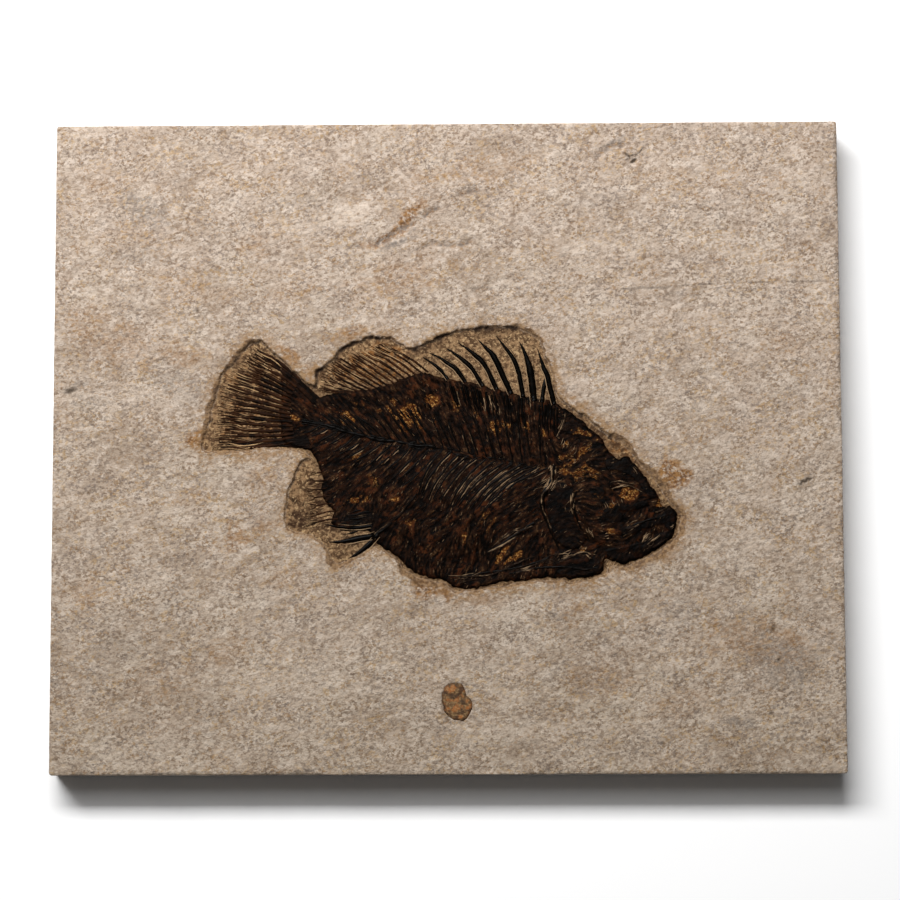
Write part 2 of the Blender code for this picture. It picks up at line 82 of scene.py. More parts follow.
def roughNoise(x, y, size, seed, octaves=3):
    total, weights, weight = 0, 0.0, 1.0
    for octave in range(octaves):
        total = total + weight * noise(x, y, size / 2 ** octave, seed + 7 * octave)
        weights += weight
        weight *= 0.55
    return total / weights


def smoothStep(low, high, value):
    t = np.clip((value - low) / (high - low), 0, 1)
    return t * t * (3 - 2 * t)


def smoothPath(points, spacing, closed=False):  # an even run of points on a smooth curve through points
    p = np.array(points, float)
    if closed:
        before, start, end, after = np.roll(p, 1, 0), p, np.roll(p, -1, 0), np.roll(p, -2, 0)
    else:
        wide = np.vstack([2 * p[0] - p[1], p, 2 * p[-1] - p[-2]])
        before, start, end, after = wide[:-3], wide[1:-2], wide[2:-1], wide[3:]
    fine = []
    for t in np.linspace(0, 1, 12, endpoint=False):
        bend = 2 * before - 5 * start + 4 * end - after
        twist = 3 * start - before - 3 * end + after
        fine.append(0.5 * (2 * start + (end - before) * t + bend * t ** 2 + twist * t ** 3))
    fine = np.stack(fine, 1).reshape(-1, p.shape[1])
    fine = np.vstack([fine, fine[:1] if closed else p[-1:]])
    lengths = np.concatenate([[0], np.cumsum(np.linalg.norm(np.diff(fine[:, :2], axis=0), axis=1))])
    count = max(2, round(lengths[-1] / spacing))
    places = np.linspace(0, lengths[-1], count + 1)
    if closed:
        places = places[:-1]
    return np.stack([np.interp(places, lengths, fine[:, axis]) for axis in range(p.shape[1])], 1)


def along(path, share):  # the point at a share of a path's length
    p = np.array(path, float)
    lengths = np.concatenate([[0], np.cumsum(np.linalg.norm(np.diff(p, axis=0), axis=1))])
    return np.array([np.interp(share * lengths[-1], lengths, p[:, axis]) for axis in (0, 1)])


def signedDistance(x, y, loop):  # below zero inside the loop
    nearest, inside = np.full(x.shape, 1e9), np.zeros(x.shape, bool)
    for (ax, ay), (bx, by) in zip(loop, np.roll(loop, -1, 0)):
        ex, ey = bx - ax, by - ay
        t = np.clip(((x - ax) * ex + (y - ay) * ey) / (ex * ex + ey * ey), 0, 1)
        nearest = np.minimum(nearest, (x - ax - t * ex) ** 2 + (y - ay - t * ey) ** 2)
        if ey:
            inside ^= ((ay > y) != (by > y)) & (x < ax + (y - ay) * ex / ey)
    return np.where(inside, -1, 1) * np.sqrt(nearest)


def pathDistance(x, y, path):  # distance to an open path, and the share of its points passed there
    nearest, share = np.full(x.shape, 1e9), np.zeros(x.shape)
    for index, ((ax, ay), (bx, by)) in enumerate(zip(path[:-1], path[1:])):
        ex, ey = bx - ax, by - ay
        t = np.clip(((x - ax) * ex + (y - ay) * ey) / (ex * ex + ey * ey + 1e-12), 0, 1)
        distance = (x - ax - t * ex) ** 2 + (y - ay - t * ey) ** 2
        share = np.where(distance < nearest, (index + t) / (len(path) - 1), share)
        nearest = np.minimum(nearest, distance)
    return np.sqrt(nearest), share


def ovalReach(x, y, centreX, centreY, length, width, turn):  # 0 at an oval's centre, 1 at its edge
    c, s = math.cos(math.radians(turn)), math.sin(math.radians(turn))
    u = ((x - centreX) * c + (y - centreY) * s) / length
    v = ((y - centreY) * c - (x - centreX) * s) / width
    return np.sqrt(u * u + v * v)


def patches(x, y, spots, ragged, seed):  # soft oval patches: x, y, half length, half width, turn, amount
    total = np.zeros(x.shape)
    wobble = ragged * roughNoise(x, y, 3.2, seed)
    for *oval, amount in spots:
        total = np.maximum(total, amount * smoothStep(1.25, 0.45, ovalReach(x, y, *oval) + wobble))
    return total


def hexLattice(low, high, spacing, rng):  # evenly spread points with a little disorder
    rows = int((high[1] - low[1]) / (spacing * 0.866)) + 1
    columns = int((high[0] - low[0]) / spacing) + 1
    gx, gy = np.meshgrid(np.arange(columns), np.arange(rows))
    even = np.stack([low[0] + spacing * (gx + 0.5 * (gy % 2)), low[1] + spacing * 0.866 * gy], -1)
    even = even.reshape(-1, 2)
    even = even + rng.uniform(-0.16, 0.16, even.shape) * spacing
    return even[((even > low) & (even < high)).all(1)]


def triangulate(loop, inner):  # triangles over a loop and the points inside it
    points = [Vector(point) for point in np.vstack([loop, inner])]
    made = delaunay_2d_cdt(points, [], [list(range(len(loop)))], 1, 1e-7, False)
    points = np.array([tuple(point) for point in made[0]])
    faces = np.array([tuple(face) for face in made[2]])
    middles = points[faces].mean(1)
    bridging = (faces < len(loop)).all(1)     # only such faces can span a bay of the loop
    bridging[bridging] = signedDistance(*middles[bridging].T, loop) > 0
    return points, faces[~bridging]


def ringWall(upper, lower, count):  # triangles between two anticlockwise rings, facing out
    here = np.arange(count)
    after = np.roll(here, -1)
    return np.vstack([
        np.stack([upper + here, lower + here, lower + after], 1),
        np.stack([upper + here, lower + after, upper + after], 1),
    ])


def meshObject(name, points, triangles, material, attributes=None):
    mesh = bpy.data.meshes.new(name)
    mesh.vertices.add(len(points))
    mesh.vertices.foreach_set("co", (np.asarray(points) * mm).astype(np.float32).ravel())
    mesh.loops.add(len(triangles) * 3)
    mesh.loops.foreach_set("vertex_index", np.asarray(triangles).astype(np.int32).ravel())
    mesh.polygons.add(len(triangles))
    mesh.polygons.foreach_set("loop_start", np.arange(0, len(triangles) * 3, 3, dtype=np.int32))
    mesh.update(calc_edges=True)
    mesh.validate()
    mesh.shade_smooth()
    for key, values in (attributes or {}).items():
        values = np.asarray(values, np.float32)
        mesh.attributes.new(key, "FLOAT", "POINT").data.foreach_set("value", values)
    mesh.materials.append(material)
    made = bpy.data.objects.new(name, mesh)
    scene.collection.objects.link(made)
    print(name + ":", len(triangles), "faces")
    return made


def shellObject(name, loop, step, seed, relief, underZ, material):
    # A lump over a loop: a relief above, a wall round it and a flat underside. The relief gives the
    # height at x and y, and masks for the material, each with its value below.
    inner = hexLattice(loop.min(0), loop.max(0), step, np.random.default_rng(seed))
    inner = inner[signedDistance(*inner.T, loop) < -0.3]
    points, triangles = triangulate(loop, inner)
    z, masks = relief(points[:, 0], points[:, 1])
    _, underTriangles = triangulate(loop, inner[:0])
    count = len(loop)
    under = len(points) + np.arange(count)
    lower = np.column_stack([loop, np.full(count, underZ)])
    everything = np.vstack([np.column_stack([points, z]), lower])
    faces = np.vstack([triangles, ringWall(0, len(points), count), under[underTriangles][:, ::-1]])
    attributes = {key: np.append(values, np.full(count, below)) for key, (values, below) in masks.items()}
    return meshObject(name, everything, faces, material, attributes)


def setInputs(tree, made, inputs):  # each a value, a socket, or a node for its first output
    for key, value in inputs.items():
        if isinstance(value, bpy.types.Node):
            value = value.outputs[0]
        if isinstance(value, bpy.types.NodeSocket):
            tree.links.new(value, made.inputs[key])
        else:
            made.inputs[key].default_value = value


def node(tree, kind, inputs=None, **settings):  # one node, with its settings, values and links
    made = tree.nodes.new(kind)
    for name, value in settings.items():
        setattr(made, name, value)
    setInputs(tree, made, inputs or {})
    return made


def newMaterial(name):
    material = bpy.data.materials.new(name)
    material.use_nodes = True
    tree = material.node_tree
    return material, tree, tree.nodes["Principled BSDF"]


def paint(tree, place, colour, layers):
    # Lays colours over one another: each layer's colour, how much of it, and the screens it shows
    # through. A screen is an attribute or "", plus a noise of a size in mm and a detail, and goes from
    # none to full between its last two numbers.
    for number, (over, amount, *screens) in enumerate(layers):
        for name, sizeMm, detail, low, high in screens:
            value = node(tree, "ShaderNodeAttribute", attribute_name=name).outputs["Fac"] if name else 0.0
            if sizeMm:
                shift = (0.37 * sizeMm * mm * number, 0.61 * sizeMm * mm, 0.0)
                moved = node(tree, "ShaderNodeMapping", {"Vector": place, "Location": shift})
                inputs = {"Vector": moved, "Scale": 1 / (sizeMm * mm), "Detail": detail, "Roughness": 0.6}
                grain = node(tree, "ShaderNodeTexNoise", inputs)
                value = node(tree, "ShaderNodeMath", {0: value, 1: grain}, operation="ADD")
            shown = node(tree, "ShaderNodeMapRange", {"Value": value, "From Min": low, "From Max": high},
                         interpolation_type="SMOOTHSTEP")
            amount = node(tree, "ShaderNodeMath", {0: shown, 1: amount}, operation="MULTIPLY")
        target = linear(over) if isinstance(over, str) else over
        colour = node(tree, "ShaderNodeMix", {0: amount, 6: colour, 7: target}, data_type="RGBA").outputs[2]
    return colour


# Outlines and paths that the stone and the fish share, as in the solid parts

hollowFoot = [
    (-94.4, -0.6), (-92.6, 5.5), (-90.9, 13.5), (-89.0, 19.0), (-88.2, 24.0), (-86.2, 28.4),
    (-81.8, 33.2), (-77.4, 38.0), (-72.6, 41.2), (-69.4, 38.6), (-64.5, 33.6), (-59.0, 28.6),
    (-54.0, 24.2), (-51.0, 23.4), (-49.6, 29.4), (-46.8, 31.6), (-44.0, 33.2), (-41.6, 36.4),
    (-38.6, 38.8), (-34.0, 40.6), (-28.0, 42.0), (-22.0, 41.6), (-18.4, 39.4), (-15.2, 37.9),
    (-11.0, 38.4), (-5.0, 41.0), (0.5, 43.3), (7.0, 44.8), (14.0, 45.6), (20.5, 46.2),
    (26.0, 46.2), (30.5, 44.6), (34.6, 42.0), (37.4, 37.0), (40.0, 30.5), (42.2, 23.5),
    (44.6, 16.8), (49.0, 13.8), (54.5, 10.2), (58.6, 7.0), (61.5, 4.0), (66.0, 1.4),
    (70.0, -1.6), (74.5, -7.2), (79.5, -13.4), (83.4, -19.0), (88.4, -24.4), (90.2, -28.2),
    (89.4, -32.4), (87.8, -36.4), (83.0, -40.2), (76.5, -43.8), (70.8, -46.8), (66.6, -47.9),
    (62.6, -47.2), (60.6, -50.2), (56.0, -52.0), (48.0, -52.9), (38.0, -52.3), (30.0, -53.4),
    (20.0, -54.6), (12.0, -56.0), (4.0, -56.3), (-1.5, -53.6), (-8.0, -52.2), (-13.4, -50.2),
    (-17.0, -47.2), (-20.0, -43.4), (-24.0, -40.4), (-28.4, -39.6), (-33.0, -42.4), (-38.0, -44.8),
    (-41.4, -46.1), (-43.8, -44.6), (-46.4, -39.8), (-50.6, -35.8), (-56.0, -34.0), (-60.4, -32.8),
    (-62.1, -29.4), (-61.8, -24.0), (-60.8, -17.6), (-58.6, -10.8), (-56.2, -6.6), (-53.0, -5.4),
    (-52.6, -3.8), (-56.0, -2.2), (-62.0, -0.9), (-70.0, -1.0), (-80.0, -2.0), (-89.0, -2.3),
]
skinEdge = [
    (-62.5, 1.0), (-64.0, 7.0), (-64.5, 14.0), (-64.0, 21.0), (-63.5, 28.5), (-61.0, 29.0),
    (-57.0, 25.6), (-53.0, 21.4), (-50.0, 19.0), (-46.0, 19.6), (-38.0, 21.2), (-30.0, 22.0),
    (-24.0, 23.6), (-17.0, 26.0), (-10.0, 27.8), (-4.0, 27.4), (3.0, 25.2), (10.0, 24.2),
    (18.0, 22.0), (25.0, 20.4), (32.0, 18.8), (40.0, 17.0), (44.6, 14.6), (49.0, 11.6),
    (54.0, 7.6), (58.6, 3.8), (61.6, -1.0), (64.4, -5.0), (66.6, -6.0), (68.8, -4.4),
    (71.0, -5.6), (75.0, -10.6), (78.4, -15.2), (81.4, -19.8), (82.4, -23.0), (84.6, -24.8),
    (86.2, -23.4), (88.6, -26.8), (88.4, -31.0), (86.8, -35.6), (83.0, -38.8), (77.4, -42.4),
    (71.4, -45.2), (67.4, -46.6), (64.4, -45.2), (60.8, -44.8), (59.6, -49.2), (55.0, -51.0),
    (48.0, -51.8), (38.0, -51.2), (30.0, -52.2), (20.0, -53.0), (12.0, -54.8), (4.0, -55.2),
    (-0.5, -52.4), (-8.0, -51.0), (-13.0, -49.0), (-17.0, -45.2), (-21.0, -41.4), (-26.0, -38.6),
    (-29.6, -34.2), (-34.0, -32.6), (-40.6, -32.2), (-45.0, -29.8), (-43.4, -25.8), (-47.0, -21.4),
    (-48.4, -17.4), (-47.6, -12.6), (-49.4, -7.8), (-51.4, -3.2), (-56.0, -1.0),
]
backboneLine = [
    (-56.0, 9.5), (-46.0, 7.6), (-36.0, 4.6), (-24.0, 2.0), (-10.0, 0.0), (6.0, -3.6),
    (22.0, -7.2), (40.0, -9.2),
]


def raggedLoop(points, spacing, reach, size, seed):  # a smooth loop with its edge nibbled
    loop = smoothPath(points, spacing, closed=True)
    ahead = np.roll(loop, -1, 0) - np.roll(loop, 1, 0)
    out = np.stack([ahead[:, 1], -ahead[:, 0]], 1) / np.linalg.norm(ahead, axis=1)[:, None]
    return loop + out * (reach * roughNoise(loop[:, 0], loop[:, 1], size, seed, 3))[:, None]


def anticlockwise(loop):
    x, y = loop[:, 0], loop[:, 1]
    return loop if np.sum(x * np.roll(y, -1) - np.roll(x, -1) * y) > 0 else loop[::-1]


hollowLoop = raggedLoop(hollowFoot, 0.6, 1.0, 2.6, 3)
skinLoop = anticlockwise(raggedLoop(skinEdge, 0.42, 0.85, 2.2, 5))

# Height of the crushed body: skin, and swellings as x, y, half length, half width, turn, crown
body = dict(
    skin=0.7, softness=0.13, settle=0.04,
    swellings=[
        (4.0, -15.0, 42.0, 31.0, 0.0, 1.65),
        (62.0, -24.0, 25.0, 16.5, -34.0, 1.75),
        (-30.0, 3.5, 26.0, 14.0, 4.0, 1.25),
    ],
)


def bodyHeight(x, y):
    x, y = np.asarray(x, float), np.asarray(y, float)
    height = np.full(x.shape, body["skin"])
    for *oval, crown in body["swellings"]:
        dome = crown * np.sqrt(np.clip(1 - ovalReach(x, y, *oval) ** 2, 0, None))
        height = np.logaddexp(height / body["softness"], dome / body["softness"]) * body["softness"]
    return fishZ + height - body["settle"]


# Limestone slab

slab = dict(
    faceStep=1.18, fineStep=0.48, hiddenStep=2.6, edgeStep=1.15, cornerRadius=1.1,
    underStep=9.0, fishArea=((-102, -64), (98, 54)), topInset=0.42, deepestNick=1.4,
    markAreas=[((-4, 57), (152, 67), 0.55), ((68, 107), (80, 119), 0.55), ((-5, -109), (14, -89), 0.5)],
    rings=[  # inset, height and roughness of the sawn sides, going down
        (0.12, faceZ - 0.45, 0.10), (0.0, faceZ - 1.2, 0.16), (0.0, faceZ - 3.5, 0.22),
        (0.0, faceZ - 6.5, 0.25), (0.0, faceZ - 9.5, 0.25), (0.0, faceZ - 12.5, 0.22),
        (0.0, faceZ - 15.5, 0.18), (0.0, 0.9, 0.12), (0.35, 0.25, 0.05), (1.0, 0.0, 0.0),
    ],
    faceDrop=0.16, lumps=((24.0, 0.36, 14), (11.0, 0.26, 11), (5.0, 0.22, 12), (2.8, 0.2, 13)),
    hollowDepth=1.26, floorLump=0.17, footDepth=0.3, lightWay=(-0.62, 0.79), probe=0.4,
    dents=dict(crack=0.14, chip=1.2, scratch=0.2, ledge=0.85, pocket=0.9, speckAndChipShadow=0.12),
    wallRun=0.75, wideRun=1.6,
    wideWalls=[  # where the wall of the hollow slopes gently
        (67, 0, 9, 4, -38, 1.5), (82, -14, 11, 4, -52, 1.5), (90, -31, 4, 7, 0, 1.1),
        (78, -44, 12, 4, 30, 1.3), (-91, 14, 5, 14, -10, 1.1), (-80, 38, 10, 4, 45, 0.7),
        (30, 46, 9, 3, -35, 0.8), (-43, -45, 8, 4, 0, 1.2), (-12, -52, 12, 4, -15, 1.3),
    ],
    crack=[(-2.7, 61.0), (20, 61.4), (59, 60.6), (80, 61.0), (97.7, 62.1), (125, 63.0), (151, 63.3)],
    chips=[(73.2, 111.6, 2.6, 2.0, 0.0, 0.9)],
    chipTail=[(74.2, 113.6), (75.6, 114.8), (77.0, 116.4)],
    # the ledges are greyed and darkened along their steps as painted shade, with real ochre staining
    ledges=[  # small broken steps in the face
        [(-41, 80.5), (-35, 78.4), (-29, 78.6), (-23, 81), (-14, 86.4), (-8, 90), (0, 95.6), (7, 99),
         (12, 100)],
        [(59, 112.6), (62, 116), (66, 117.6), (70, 116.6), (72.6, 113.6)],
        [(-12, 76), (-4, 78.4), (4, 78), (10, 80)],
    ],
)
stains = dict(  # x, y, half length, half width, turn and amount; amber and umber lie in the hollow
    ochre=[
        (-15, 90, 9, 2.6, 42, 0.85), (-22, 82, 11, 2.2, 30, 0.8), (-8, 95, 4, 2.2, 50, 0.6),
        (-31, 79, 6, 1.6, 12, 0.6), (-35, 88, 7, 1.6, 30, 0.4), (-97, 2, 8, 4.5, 15, 0.95),
        (-80.5, -34.5, 7.5, 7.5, 0, 0.64), (-71, -31, 10, 3.6, 8, 0.5), (88, -12, 7, 6.5, -35, 1.0),
        (-103, 36, 13, 6, -20, 0.5), (-38, 44, 8, 3, 20, 0.65), (-61, 35, 6, 4, -40, 0.7),
        (-71, -11, 9, 8, 0, 0.45), (-140, 50, 12, 8, 0, 0.4), (-140, -57, 10, 9, 0, 0.4),
        (123, -72, 8, 4, 60, 0.6), (48, -66, 10, 5, 20, 0.45), (-134, 104, 9, 7, 0, 0.35),
        (16, -60, 12, 4, 0, 0.4), (74, -50, 8, 3, 30, 0.4), (-100, -20, 10, 5, 10, 0.35),
        (-60, 60, 16, 5, 10, 0.35), (86, -42, 9, 4, 35, 0.45), (-7, -56, 8, 4, -8, 0.9),
        (-100, 62, 22, 8, -12, 0.35), (-52, 26, 5, 6, 0, 0.6), (-118, 84, 20, 6, 5, 0.3),
        (120, -96, 14, 6, 15, 0.25), (-66, 40, 9, 3, -40, 0.4), (-70, -4, 14, 2.6, 0, 0.5),
        (50, 17, 14, 2.6, -36, 0.4), (-128, 40, 24, 12, -15, 0.42), (-20, 66, 26, 9, 10, 0.42),
        (-62, -52, 12, 6, 0, 0.4), (122, -78, 24, 13, -8, 0.5), (88, -100, 18, 8, 10, 0.4),
        (60, -90, 20, 8, 0, 0.35), (10, 108, 30, 7, 8, 0.4), (-110, -90, 16, 10, 0, 0.35),
        (-86, -78, 12, 8, 0, 0.4), (130, 40, 14, 9, 0, 0.35), (86, 104, 18, 8, -10, 0.35),
        (-74, 78, 12, 7, 0, 0.4),
    ],
    # grey: grey stains; the two at x 66 lie along the second ledge and paint its shade
    grey=[
        (-19, 79.5, 9, 1.5, 22, 0.8), (-12, 85, 7, 1.0, 45, 0.7), (66, 119, 7, 1.3, 28, 0.7),
        (111, -106.8, 8, 2.2, -8, 0.7), (-143, 24, 6, 3, 20, 0.5), (66, 116.5, 6, 2.0, 22, 0.6),
        (-120, 74, 14, 3, -8, 0.35), (86, 58, 16, 2.6, 3, 0.3), (44, -66, 7, 3, 0, 0.55),
        (-105, -60, 14, 6, 30, 0.3), (-130, -80, 24, 9, 20, 0.35), (-140, 18, 9, 3, 10, 0.5),
        (-116, 92, 14, 7, -25, 0.6), (-104, 24, 16, 7, -20, 0.5), (128, -84, 20, 10, -12, 0.6),
        (90, -64, 10, 6, 0, 0.4), (120, -76, 8, 5, 50, 0.5), (62, 96, 16, 3, 8, 0.35),
        (-60, 96, 16, 4, -8, 0.35), (132, 20, 12, 4, 20, 0.3),
    ],
    # dark: dark specks in the stone; the three at the chip, near x 71 to 76 and y 111 to 115, are painted
    # shadow in its hollow
    dark=[
        (138, -14.4, 4.2, 0.9, 26, 0.95), (-146, 22, 3.6, 1.2, 15, 0.8), (125, -71, 2.4, 0.9, 60, 0.6),
        (126.6, -82.7, 1.2, 0.7, 10, 0.9), (82.2, -115, 0.7, 0.7, 0, 1.0),
        (123.5, -103.3, 0.8, 0.7, 0, 0.8), (73.2, 111.4, 2.0, 0.9, 38, 1.0),
        (70.8, 113.6, 2.0, 0.7, -40, 0.7), (76, 115, 2.2, 0.4, 50, 0.35), (-97, 53, 1.2, 0.5, -40, 0.6),
        (41, 95, 1.6, 0.5, 10, 0.5),
    ],
    pale=[
        (20.5, -94.4, 7, 2, 0, 0.6), (-118, -118, 20, 6, 10, 0.4), (-39, 90, 15, 5, 8, 0.85),
        (-60, 86, 10, 4, 0, 0.5), (-60, -88, 26, 10, 10, 0.5), (24, -110, 22, 7, 0, 0.45),
        (-143, 17, 7, 3, 20, 0.6), (110, -40, 16, 8, 20, 0.4), (60, 76, 22, 5, 5, 0.4),
        (-120, 60, 18, 10, 0, 0.35), (100, 14, 14, 6, 30, 0.4),
    ],
    amber=[
        (-28, 31, 17, 9, 15, 0.9), (-73, 16, 18, 20, 0, 0.6), (-50, -20, 8, 12, 0, 0.3),
        (66, -1, 8, 4, -40, 0.6),
    ],
    umber=[
        (-73, 16, 15, 18, 10, 0.9), (-30, 29, 15, 8, 15, 0.5), (-51, -22, 6, 11, 0, 0.55),
        (62, 3, 9, 3, -38, 0.75), (20, 45, 18, 2.4, 3, 0.6), (39, 38, 2.6, 9, 15, 0.75),
        (-10, 37, 12, 1.8, 25, 0.6), (76, -6, 5, 3, -50, 0.6), (-56, -27, 4.2, 2.6, 0, 1.2),
        (-50, -23, 3.6, 3.0, 0, 1.1), (-48.5, -16, 3.4, 4.4, 0, 1.0), (-57, -30.6, 4.6, 1.4, 0, 1.1),
        (-53, -14, 2.6, 1.8, 30, 1.0), (-45, -31.6, 4, 2.2, 0, 1.0), (-38, -41, 5, 2.6, 25, 0.45),
        (-31, -38.6, 3, 1.6, 0, 0.5),
    ],
)
ovalEdge = [
    (0.6, -92.0), (3.1, -91.7), (5.8, -92.2), (7.0, -94.4), (7.5, -96.4), (8.9, -97.5), (9.9, -99.8),
    (8.9, -102.9), (7.0, -105.4), (4.6, -105.9), (1.5, -105.0), (-0.6, -103.3), (-1.6, -100.2),
    (-2.1, -97.5), (-1.2, -94.0),
]
ovalLoop = anticlockwise(raggedLoop(ovalEdge, 0.4, 0.4, 1.5, 9))


def slabOutline():  # the slab's edge, anticlockwise, with outward directions
    r, step = slab["cornerRadius"], slab["edgeStep"]
    points, outward = [], []
    corners = [(halfLength, -halfWidth, -90), (halfLength, halfWidth, 0), (-halfLength, halfWidth, 90),
               (-halfLength, -halfWidth, 180)]
    for index, (cornerX, cornerY, start) in enumerate(corners):
        centre = np.array([cornerX - math.copysign(r, cornerX), cornerY - math.copysign(r, cornerY)])
        for degrees in (0, 30, 60, 90):
            angle = math.radians(start + degrees)
            direction = np.array([math.cos(angle), math.sin(angle)])
            points.append(centre + r * direction)
            outward.append(direction)
        nextX, nextY, _ = corners[(index + 1) % 4]
        nextCentre = np.array([nextX - math.copysign(r, nextX), nextY - math.copysign(r, nextY)])
        first, last = centre + r * direction, nextCentre + r * direction
        count = int(np.linalg.norm(last - first) / step)
        for share in np.arange(1, count) / count:
            points.append(first + (last - first) * share)
            outward.append(direction)
    return np.array(points), np.array(outward)


def loopDistance(x, y, loop):  # as signedDistance, but 50 mm wherever the loop is over 9 mm off
    gap = np.full(x.shape, 50.0)
    low, high = loop.min(0) - 9, loop.max(0) + 9
    near = (x > low[0]) & (x < high[0]) & (y > low[1]) & (y < high[1])
    gap[near] = signedDistance(x[near], y[near], loop)
    return gap


def faceHeight(x, y):  # relief of the slab's face and its hollow, with the masks that colour it
    hollow, skin = loopDistance(x, y, hollowLoop), loopDistance(x, y, skinLoop)
    z = np.full(x.shape, faceZ - slab["faceDrop"])
    for size, height, seed in slab["lumps"]:
        z += height * roughNoise(x, y, size, seed, 2)
    rim = np.abs(hollow) < 3.4
    east = signedDistance(x[rim] + slab["probe"], y[rim], hollowLoop) - hollow[rim]
    north = signedDistance(x[rim], y[rim] + slab["probe"], hollowLoop) - hollow[rim]
    shaded = np.zeros(x.shape)                       # 1 where the wall lies in its own shadow
    shaded[rim] = (slab["lightWay"][0] * east + slab["lightWay"][1] * north) / slab["probe"]
    shaded = smoothStep(0.0, 0.75, shaded)

    run = slab["wallRun"] + patches(x, y, slab["wideWalls"], 0.3, 21) * slab["wideRun"]
    run *= 1 + 0.35 * noise(x, y, 2.6, 22)
    wall = np.sin(np.clip(hollow / run, 0, 1) * math.pi / 2) ** 0.9
    floor = faceZ - slab["hollowDepth"]
    floor += slab["floorLump"] * (roughNoise(x, y, 2.4, 23) + noise(x, y, 1.1, 24))
    groove = smoothStep(1.7, 0.3, np.abs(hollow + 0.4)) * smoothStep(-0.6, 0.4, noise(x, y, 4.0, 38))
    floor -= slab["footDepth"] * shaded * groove
    z = np.where(hollow < run, floor + (z - floor) * wall, z)

    gap, share = pathDistance(x, y, smoothPath(slab["crack"], 1.2))
    gape = smoothStep(-0.55, 0.3, roughNoise(x, y, 9.0, 26) + 0.3 * share)
    crack = gape * smoothStep(0.6, 0.05, np.abs(gap + 0.35 * noise(x, y, 3.0, 25)))
    chip = patches(x, y, slab["chips"], 0.25, 27)
    scratch = smoothStep(0.6, 0.1, pathDistance(x, y, np.array(slab["chipTail"]))[0])
    ledge = np.zeros(x.shape)
    for path in slab["ledges"]:
        gap = pathDistance(x, y, smoothPath(path, 1.5))[0] + 0.9 * roughNoise(x, y, 3.0, 42)
        broken = smoothStep(-0.6, 0.3, noise(x, y, 5.0, 43))
        ledge = np.maximum(ledge, smoothStep(2.0, 0.0, gap) * broken)
    pocket = smoothStep(0.1, -0.45, loopDistance(x, y, ovalLoop))
    # the dark patches both dent the face and darken it: dark specks, and painted shadow in the chip
    speckAndChipShadow = patches(x, y, stains["dark"], 0.2, 28)
    dents = dict(crack=crack, chip=chip, scratch=scratch, ledge=ledge, pocket=pocket, speckAndChipShadow=speckAndChipShadow)
    for name, mask in dents.items():
        z -= slab["dents"][name] * mask

    lee = np.abs(hollow + 0.1 + 1.1 * roughNoise(x, y, 2.4, 35))
    spots = {key: patches(x, y, stains[key], ragged, seed) for key, ragged, seed in (
        ("ochre", 0.7, 31), ("grey", 0.5, 32), ("pale", 0.5, 33), ("amber", 0.5, 39), ("umber", 0.5, 36))}
    # along the ledges, grey and dark are painted shade of the steps and ochre is staining; dark also holds
    # dark specks, the crack and scratch lines, and painted shadow in the chip
    masks = dict(
        spots, ochre=np.maximum(spots["ochre"], 0.7 * ledge), grey=np.maximum(spots["grey"], 0.95 * ledge),
        amber=spots["amber"] * (hollow < 0.3), umber=spots["umber"] * (hollow < 0.3),
        dark=np.clip(speckAndChipShadow + 0.5 * crack + 0.5 * scratch + 0.35 * ledge ** 3, 0, 1),
        matrix=smoothStep(0.4, -0.5, hollow),
        wall=smoothStep(-0.2, 0.15, hollow) * smoothStep(1.0, 0.75, hollow / run),
        # painted shade: a dark brown band along the foot of the walls that face away from the light
        paintedFootShade=(0.5 * smoothStep(2.2, 0.5, lee) + 0.45 * smoothStep(0.9, 0.2, lee)) * shaded
        * smoothStep(-0.5, 0.3, roughNoise(x, y, 4.0, 37)) * smoothStep(-90, 10, x + 2 * y),
        halo=smoothStep(7.5, -1.0, hollow + 3.4 * roughNoise(x, y, 4.0, 34, 4)) * (hollow > 0),
        shore=smoothStep(1.8, 0.0, skin) * (hollow < 0),
    )
    return z, masks


def facePoints(rng):  # where the face's points stand: closest on the rim and fin beds, and on marks
    def zone(points):  # 0 open face, 1 rim and fin beds, 2 under the skin
        hollow, skin = loopDistance(*points.T, hollowLoop), loopDistance(*points.T, skinLoop)
        return np.where(skin < -1.2, 2, np.where(hollow < 3.0, 1, 0))

    def marked(points):  # on the crack, by the chip or round the oval fossil
        x, y = points.T
        crack = pathDistance(x, y, np.array(slab["crack"]))[0] < 0.9
        chip = (np.abs(x - 73.8) < 5) & (np.abs(y - 113) < 5)
        oval = np.abs(ovalReach(x, y, 4.2, -98.8, 6.0, 6.9, 0) - 1) < 0.25
        return crack | chip | oval

    edge = np.array([halfLength, halfWidth]) - slab["deepestNick"] - 0.1
    coarse = hexLattice(-edge, edge, slab["faceStep"], rng)
    dense = hexLattice(*slab["fishArea"], slab["fineStep"], rng)
    hidden = hexLattice(*slab["fishArea"], slab["hiddenStep"], rng)
    marks = np.vstack([hexLattice(*area, rng) for area in slab["markAreas"]])
    marks = marks[np.abs(marks[:, 0]) < edge[0]]
    return np.vstack([
        coarse[(zone(coarse) == 0) & ~marked(coarse)],
        dense[zone(dense) == 1],
        hidden[zone(hidden) == 2],
        marks[marked(marks) & (zone(marks) == 0)],
    ])


